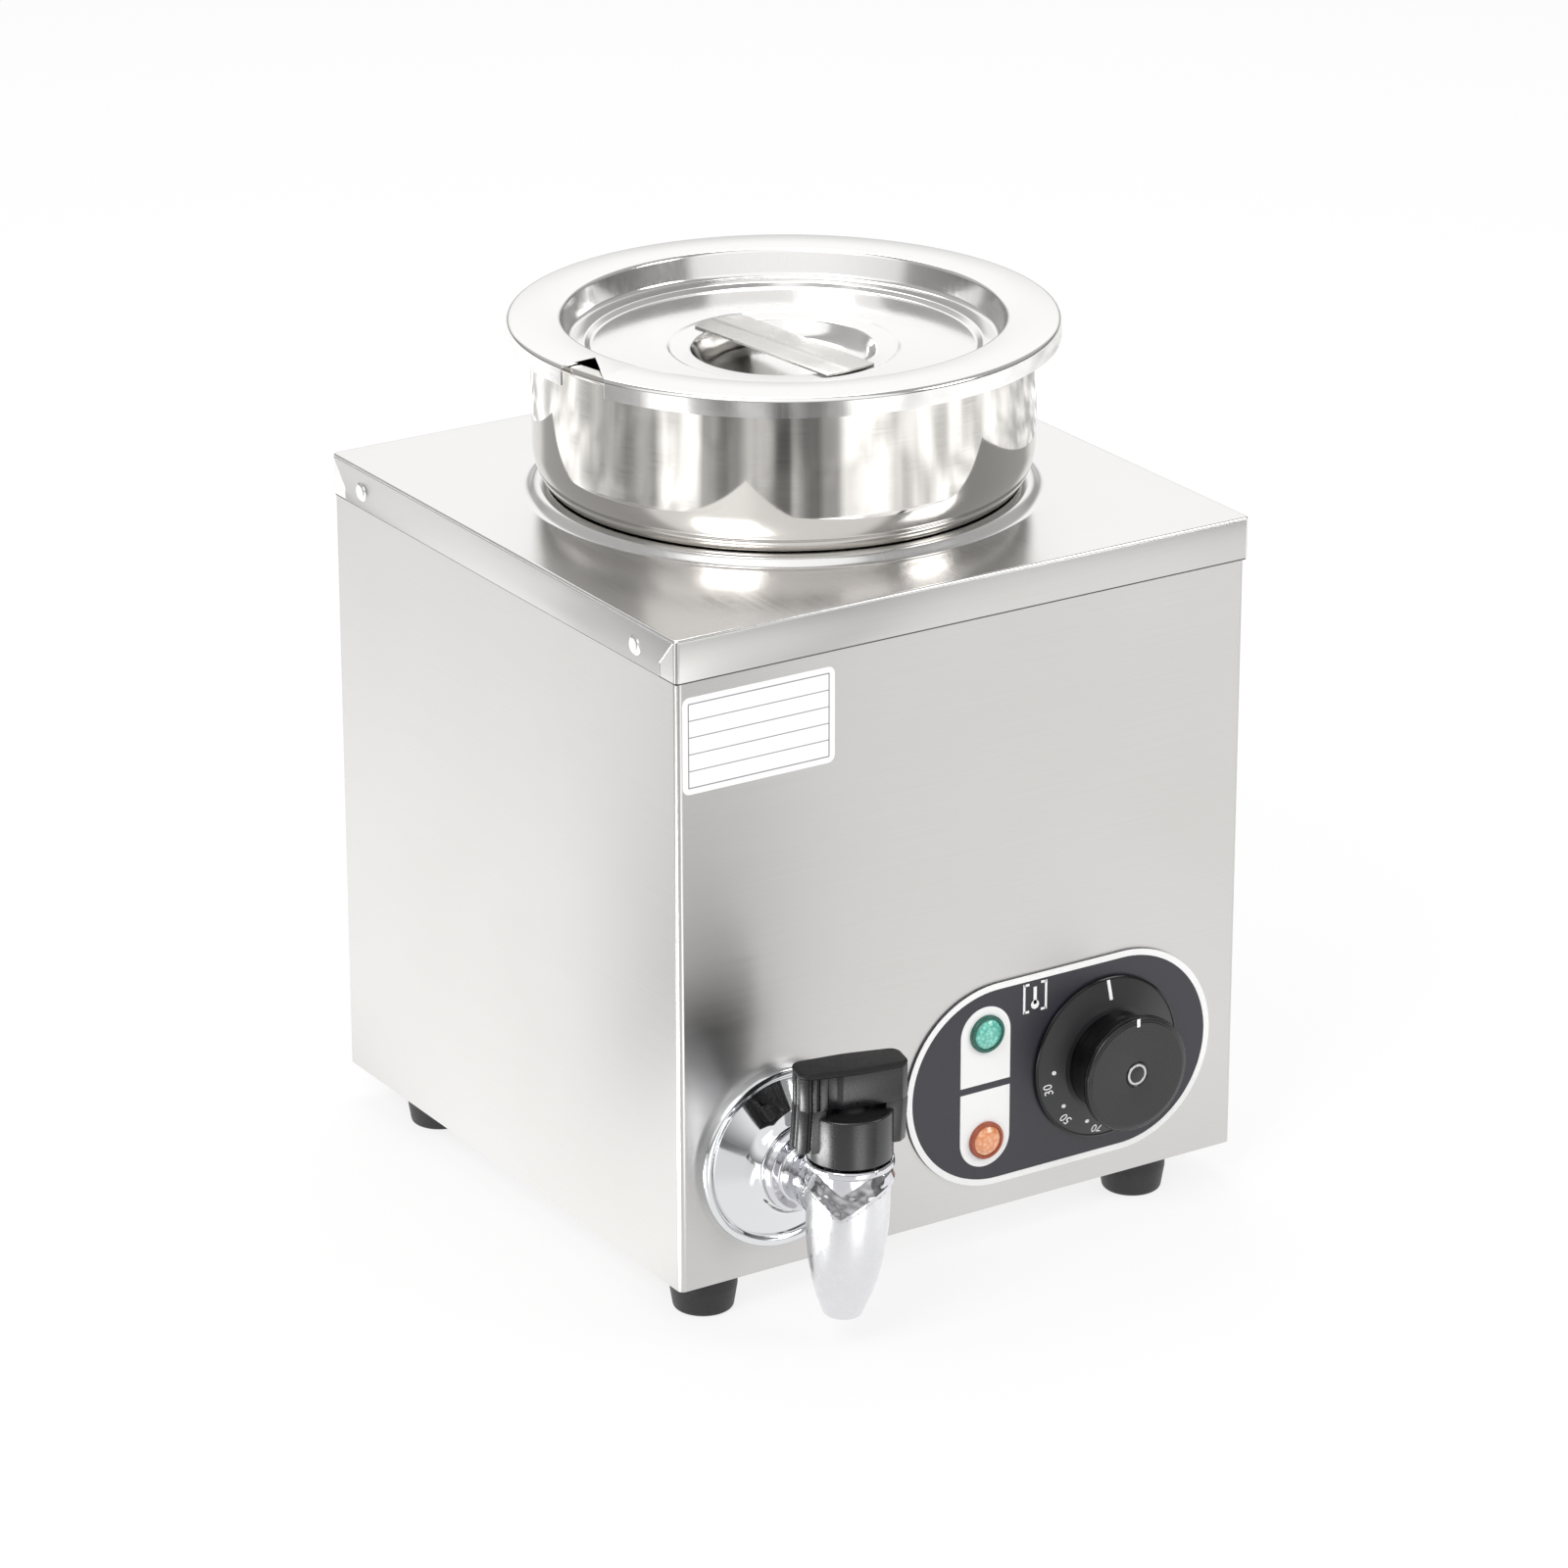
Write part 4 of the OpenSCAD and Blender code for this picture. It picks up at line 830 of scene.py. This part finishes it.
def panel_mark():
    """Plain thermometer mark between two brackets, as printed on many heated appliances."""
    x, z, half_w, half_h, arm, line = 33.0, 102.2, 5.2, 6.3, 2.4, 1.0
    stem_w, bulb_r, bulb_down, ink = 1.5, 1.9, 3.2, 0.12
    place = on_front(x, z, film_t)
    shapes = []
    for side in (-1, 1):
        end, inward = side * half_w, side * (half_w - arm)
        shapes.append((bar(end, -half_h, end, half_h, line), place))
        for height in (half_h - line / 2, -half_h + line / 2):
            shapes.append((bar(end, height, inward, height, line), place))
    shapes.append((bar(0, -3, 0, 4.4, stem_w), place))
    bulb = lathe([(0, ink), (bulb_r, ink), (bulb_r, 0)], 32)
    shapes.append((bulb, place @ Matrix.Translation((0, -bulb_down, 0))))
    piece("panel_mark", gather(*shapes), "housing", print_white)


def sticker():
    """Blank white form sticker: a frame and four ruled lines, and nothing in them."""
    x0, x1, z0, z1, corner, inset = -129.0, -61.0, 221.5, 260.5, 3.0, 2.6
    vinyl_t, ink, frame_w, rule_w, rows = 0.18, 0.03, 0.5, 0.4, 5
    half_w, half_h = (x1 - x0) / 2, (z1 - z0) / 2
    outline = rounded([(-half_w, -half_h, corner), (half_w, -half_h, corner), (half_w, half_h, corner),
                       (-half_w, half_h, corner)], 5)
    place = on_front((x0 + x1) / 2, (z0 + z1) / 2)
    piece("blank_sticker", slab(outline, vinyl_t), "housing", vinyl, place)
    side, high = half_w - inset, half_h - inset
    lines = [bar(-side, height, side, height, frame_w, ink) for height in (-high, high)]
    lines += [bar(x, -high, x, high, frame_w, ink) for x in (-side, side)]
    for row in range(1, rows):
        height = high - row * 2 * high / rows
        lines.append(bar(-side, height, side, height, rule_w, ink))
    shapes = [(line, place @ Matrix.Translation((0, 0, vinyl_t))) for line in lines]
    piece("sticker_lines", gather(*shapes), "housing", vinyl_ink)


lamp("green", green_lens, green_rim)
lamp("orange", orange_lens, orange_rim)
knob()
dial_marks()
panel_mark()
sticker()


# Rear and base

def cross_screws(name, replaced, spots, head_r, head_h, turn):
    """Pan-head screws with a cross slot."""
    dome = rounded([
        (0, head_h, 0), (head_r * 0.75, head_h, head_h * 0.8), (head_r, 0, 0.2), (head_r - 0.6, -0.3, 0),
    ], 5)
    heads = gather(*[(lathe(dome, 32), at(*spot, turn)) for spot in spots])
    made = piece(name, heads, "housing", fastener_steel, replaces=[replaced])
    long, half, slot_z, slot_turn = head_r * 0.6, 0.4, head_h * 0.35, 20
    cross = [(long, -half), (long, half), (half, half), (half, long), (-half, long), (-half, half),
             (-long, half), (-long, -half), (-half, -half), (-half, -long), (half, -long), (half, -half)]
    sunk = Matrix.Translation((0, 0, slot_z)) @ rotated(slot_turn)
    slots = [(slab(cross, 3), at(*spot, turn) @ sunk) for spot in spots]
    cut(made, gather(*slots), Matrix.Identity(4))


def rear_screws():
    """Three screws up each side of the rear panel and two near its lower edge."""
    low, high = box_mm("rear_screws")
    head, lower_x = 3.6, 60
    spots = [(x, rear_y, z) for x in (low.x + head, high.x - head) for z in (40, 150, high.z - head)]
    spots += [(x, rear_y, low.z + head) for x in (-lower_x, lower_x)]
    cross_screws("rear_screw_heads", "rear_screws", spots, head, 1.8, rotated(-90, "X"))


def gland():
    """Dome-topped cable gland with a hexagon foot and grip ribs on its nut."""
    low, high = box_mm("cable_gland")
    out, bore, thread_r, rib = high.y - rear_y, 4.5, 7.8, 0.94
    place = at((low.x + high.x) / 2, rear_y, (low.z + high.z) / 2, rotated(-90, "X"))
    nut = lathe(rounded([(thread_r, 0, 0), (11, 0, 0), (11, 5, 0.7), (thread_r, 5, 0)], 2), 6, True)
    grip = lathe(rounded([
        (thread_r, 5, 0), (10.3, 5, 0.3), (10.3, 12.6, 0.5), (thread_r, 12.6, 0),
    ], 2), 36, True)
    # Every second of its 36 columns is drawn in
    for v in grip.verts:
        if round(math.degrees(math.atan2(v.co.y, v.co.x)) / 10) % 2:
            v.co.xy *= rib
    dome = lathe(rounded([
        (bore, -13, 0), (7.9, -13, 0.5), (7.9, 12.4, 0), (9.5, 12.6, 0.3), (9.2, 14.6, 1.2), (7.2, 19, 2),
        (6.2, out, 0.6), (bore, out, 0.4),
    ], 4), 72, True)
    shapes = gather((nut, place), (grip, place), (dome, place))
    piece("gland_body", shapes, "housing", gland_plastic, replaces=["cable_gland"])


rear_screws()
gland()


# Camera, floor and light

def photo_camera():
    """The photograph's viewpoint. Angles are in degrees and the place is in metres."""
    place = Vector((-1.298886, -2.018452, 1.105439))
    azimuth, elevation, roll = math.radians(-32.14), math.radians(21.16), math.radians(-0.20)
    back = Vector((math.sin(azimuth) * math.cos(elevation), -math.cos(azimuth) * math.cos(elevation),
                   math.sin(elevation)))
    level = Vector((math.cos(azimuth), math.sin(azimuth), 0))
    upright = back.cross(level)
    right = math.cos(roll) * level + math.sin(roll) * upright
    up = math.cos(roll) * upright - math.sin(roll) * level
    data = bpy.data.cameras.new("photo camera")
    data.sensor_width = 36
    data.lens = 146.94
    data.shift_x = 0.0224
    data.shift_y = -0.0196
    data.clip_start = 0.05
    data.clip_end = 50
    camera = bpy.data.objects.new("photo camera", data)
    camera.matrix_world = Matrix.Translation(place) @ Matrix((right, up, back)).transposed().to_4x4()
    scene.collection.objects.link(camera)
    scene.camera = camera


# Brightness of the studio by compass direction, as (degrees, brightness). Metal that reflects upwards sees
# the soft ceiling, metal that reflects downwards sees past the table to strip lights round a dim space, and
# close to the object the table top shows the strips as faint streaks. The card lies on the table.
CEILING = (
    (0, 0.5), (22, 0.55), (32, 1.2), (88, 1.2), (96, 0.6), (150, 0.5), (168, 0.55), (174, 1.2), (286, 1.2),
    (291, 0.45), (330, 0.4), (360, 0.5),
)
STUDIO = (
    (0, 1.1), (60, 1.05), (104, 1.5), (132, 1.5), (142, 0.85), (160, 0.55), (178, 0.62), (183, 1.7),
    (198, 1.7), (201, 0.65), (206, 0.65), (210, 0.4), (217, 0.42), (221, 0.8), (230, 0.7), (234, 0.2),
    (239, 0.2), (241, 0.65), (246, 0.3), (252, 0.25), (255, 0.55), (261, 0.5), (264, 1.7), (282, 1.7),
    (287, 1.1), (300, 1.45), (345, 1.45), (360, 1.1),
)
STREAKS = (
    (0, 1.2), (96, 1.2), (104, 1.7), (130, 1.7), (138, 1.15), (164, 1.15), (171, 2.6), (179, 2.6),
    (187, 1.05), (204, 1.0), (244, 1.05), (255, 3.2), (272, 3.2), (284, 1.1), (300, 1.36), (345, 1.36),
    (360, 1.2),
)
CARD = ((0, 0), (141, 0), (147, 1), (178, 1), (186, 0), (360, 0))
# Radius of the table top, in metres
TABLE_EDGE = 0.74


def studio_tone(tree, direction, table):
    """Brightness in a direction, from its compass angle. The light is very slightly warm."""
    blue = 0.995
    parts = add(tree, "ShaderNodeSeparateXYZ", {0: direction})
    angle = add(tree, "ShaderNodeMath", {0: parts.outputs["Y"], 1: parts.outputs["X"]}, operation="ARCTAN2")
    turns = add(tree, "ShaderNodeMath", {0: angle, 1: 2 * math.pi}, operation="DIVIDE")
    part_turn = add(tree, "ShaderNodeMath", {0: turns}, operation="FRACT")
    ramp = add(tree, "ShaderNodeValToRGB", {"Fac": part_turn})
    stops = ramp.color_ramp.elements
    stops.remove(stops[1])
    top = max(tone for degrees, tone in table)
    for i, (degrees, tone) in enumerate(table):
        stop = stops[0] if i == 0 else stops.new(degrees / 360)
        stop.color = (tone / top, tone / top, tone / top * blue, 1)
    return add(tree, "ShaderNodeVectorMath", {0: ramp, "Scale": top}, operation="SCALE")


def by_ray(tree, matt, metal, camera):
    """Shows one shader to matt surfaces, one to metal and one to the camera."""
    path = add(tree, "ShaderNodeLightPath")
    reflected = add(tree, "ShaderNodeMixShader", {0: path.outputs["Is Glossy Ray"], 1: matt, 2: metal})
    return add(tree, "ShaderNodeMixShader", {0: path.outputs["Is Camera Ray"], 1: reflected, 2: camera})


def studio_world():
    """White to the camera, soft and even on matt surfaces, and the ceiling in metal."""
    world = bpy.data.worlds.new("studio")
    scene.world = world
    world.use_nodes = True
    tree = world.node_tree
    tree.nodes.clear()
    direction = add(tree, "ShaderNodeTexCoord").outputs["Generated"]
    # Close over the horizon the ceiling gives way to the dim space behind the lights
    upward = add(tree, "ShaderNodeSeparateXYZ", {0: direction}).outputs["Z"]
    raised = add(tree, "ShaderNodeMapRange", {
        "Value": upward, "From Min": 0.02, "From Max": 0.3, "To Min": 0.3, "To Max": 1.0,
    })
    ceiling = studio_tone(tree, direction, CEILING)
    mirrored = add(tree, "ShaderNodeBackground", {"Color": ceiling, "Strength": raised})
    plain = add(tree, "ShaderNodeBackground", {"Color": (1, 1, 1, 1), "Strength": 0.75})
    white = add(tree, "ShaderNodeBackground", {"Color": (1, 1, 1, 1), "Strength": 1.0})
    add(tree, "ShaderNodeOutputWorld", {"Surface": by_ray(tree, plain, mirrored, white)})


def far_studio(tree, where, away):
    """The studio beyond the table's edge. Its patches are what the pot shows as blots, and each one's
    place is a compass direction and a distance."""
    bearing = add(tree, "ShaderNodeVectorMath", {0: where}, operation="NORMALIZE")
    outward = add(tree, "ShaderNodeMath", {0: away, 1: 10.0}, operation="MULTIPLY")
    lift = add(tree, "ShaderNodeCombineXYZ", {"Z": outward})
    spot = add(tree, "ShaderNodeVectorMath", {0: bearing, 1: lift}, operation="ADD")
    clutter = add(tree, "ShaderNodeTexNoise", {"Vector": spot, "Scale": 5.0, "Detail": 3.0})
    patchy = add(tree, "ShaderNodeMapRange", {
        "Value": clutter, "From Min": 0.4, "From Max": 0.6, "To Min": 0.55, "To Max": 1.25,
    })
    return add(tree, "ShaderNodeVectorMath", {0: studio_tone(tree, where, STUDIO), "Scale": patchy},
               operation="SCALE")


def table_streaks(tree, from_tap, off_tap):
    """Streaks on the table top. They start a hand's width from the tap, so its spout's tip stays plain."""
    plain = 1.15
    begun = add(tree, "ShaderNodeMapRange", {"Value": off_tap, "From Min": 0.07, "From Max": 0.12})
    tone = studio_tone(tree, from_tap, STREAKS)
    mixed = add(tree, "ShaderNodeMix", {0: begun, 6: (plain, plain, plain, 1), 7: tone}, data_type="RGBA")
    return mixed.outputs[2]


def handle_card(tree, from_tap, off_tap):
    """A bright card on the table to the left of the tap's handle."""
    middle, core, reach, strength = 0.235, 0.07, 0.1, 15.0
    beyond_middle = add(tree, "ShaderNodeMath", {0: off_tap, 1: middle}, operation="SUBTRACT")
    from_middle = add(tree, "ShaderNodeMath", {0: beyond_middle}, operation="ABSOLUTE")
    lit = add(tree, "ShaderNodeMapRange", {
        "Value": from_middle, "From Min": reach, "From Max": core, "To Min": 0.0, "To Max": strength,
    })
    return add(tree, "ShaderNodeVectorMath", {0: studio_tone(tree, from_tap, CARD), "Scale": lit},
               operation="SCALE")


def dark_strip(tree, where, away):
    """Light that is left on a dark strip of the table top, which the front wall shows as a smudge."""
    across, offset, core, reach, dark = (0.83, 0.557, 0), 0.1634, 0.01, 0.028, 0.9
    along = add(tree, "ShaderNodeVectorMath", {0: where, 1: across}, operation="DOT_PRODUCT")
    from_strip = add(tree, "ShaderNodeMath", {0: along.outputs["Value"], 1: offset}, operation="ADD")
    off_strip = add(tree, "ShaderNodeMath", {0: from_strip}, operation="ABSOLUTE")
    crosswise = add(tree, "ShaderNodeMapRange", {
        "Value": off_strip, "From Min": core, "From Max": reach, "To Min": dark, "To Max": 0.0,
    })
    lengthwise = add(tree, "ShaderNodeMapRange", {"Value": away, "From Min": 0.26, "From Max": 0.34})
    taken = add(tree, "ShaderNodeMath", {0: crosswise, 1: lengthwise}, operation="MULTIPLY")
    return add(tree, "ShaderNodeMath", {0: 1.0, 1: taken}, operation="SUBTRACT")


def table_look():
    """White table top. Metal sees it bright near the object and sees the studio beyond its edge."""
    material, tree, where = new_material("white table")
    away = add(tree, "ShaderNodeVectorMath", {0: where}, operation="LENGTH").outputs["Value"]
    tap_spot = (-tap_at.x * MM, -tap_at.y * MM, 0)
    from_tap = add(tree, "ShaderNodeMapping", {"Vector": where, "Location": tap_spot}).outputs["Vector"]
    off_tap = add(tree, "ShaderNodeVectorMath", {0: from_tap}, operation="LENGTH").outputs["Value"]
    # The table top grows dimmer towards its edge
    fade = add(tree, "ShaderNodeMapRange", {
        "Value": away, "From Min": 0.2, "From Max": TABLE_EDGE, "To Min": 1.04, "To Max": 0.96,
    })
    shown = add(tree, "ShaderNodeVectorMath", {0: table_streaks(tree, from_tap, off_tap), "Scale": fade},
                operation="SCALE")
    shaded = add(tree, "ShaderNodeVectorMath", {0: shown, "Scale": dark_strip(tree, where, away)},
                 operation="SCALE")
    near = add(tree, "ShaderNodeVectorMath", {0: shaded, 1: handle_card(tree, from_tap, off_tap)},
               operation="ADD")
    beyond = add(tree, "ShaderNodeMapRange", {
        "Value": away, "From Min": TABLE_EDGE, "From Max": TABLE_EDGE + 0.02,
    })
    tone = add(tree, "ShaderNodeMix", {0: beyond, 6: near, 7: far_studio(tree, where, away)},
               data_type="RGBA")
    matt = add(tree, "ShaderNodeBsdfDiffuse", {"Color": (0.9, 0.9, 0.9, 1)})
    glow = add(tree, "ShaderNodeEmission", {"Color": (1, 1, 1, 1), "Strength": 1.0})
    mirrored = add(tree, "ShaderNodeEmission", {"Color": tone.outputs[2], "Strength": 1.0})
    # To the camera it is mostly plain white, with a part that keeps the object's shadow
    white = add(tree, "ShaderNodeMixShader", {0: 0.8, 1: matt, 2: glow})
    add(tree, "ShaderNodeOutputMaterial", {"Surface": by_ray(tree, matt, mirrored, white)})
    return material


def studio_floor():
    half = 6.0
    bm = bmesh.new()
    bmesh.ops.create_grid(bm, x_segments=1, y_segments=1, size=half)
    mesh = bpy.data.meshes.new("floor")
    bm.to_mesh(mesh)
    bm.free()
    floor = bpy.data.objects.new("floor", mesh)
    scene.collection.objects.link(floor)
    mesh.materials.append(table_look())


def soft_light(name, place, size, watts):
    """Square lamp aimed at the middle of the object, with its place and size in metres."""
    middle = Vector((0, 0, 0.15))
    data = bpy.data.lights.new(name, "AREA")
    data.size = size
    data.energy = watts
    softbox = bpy.data.objects.new(name, data)
    softbox.location = place
    softbox.rotation_euler = (middle - Vector(place)).to_track_quat("-Z", "Y").to_euler()
    scene.collection.objects.link(softbox)


photo_camera()
studio_world()
studio_floor()
soft_light("key softbox", (-1.6, -0.9, 1.9), 1.0, 22)
soft_light("fill softbox", (1.5, -1.7, 1.5), 0.9, 14)
soft_light("top softbox", (0.3, 0.9, 2.2), 1.2, 14)
scene.view_settings.view_transform = "Standard"
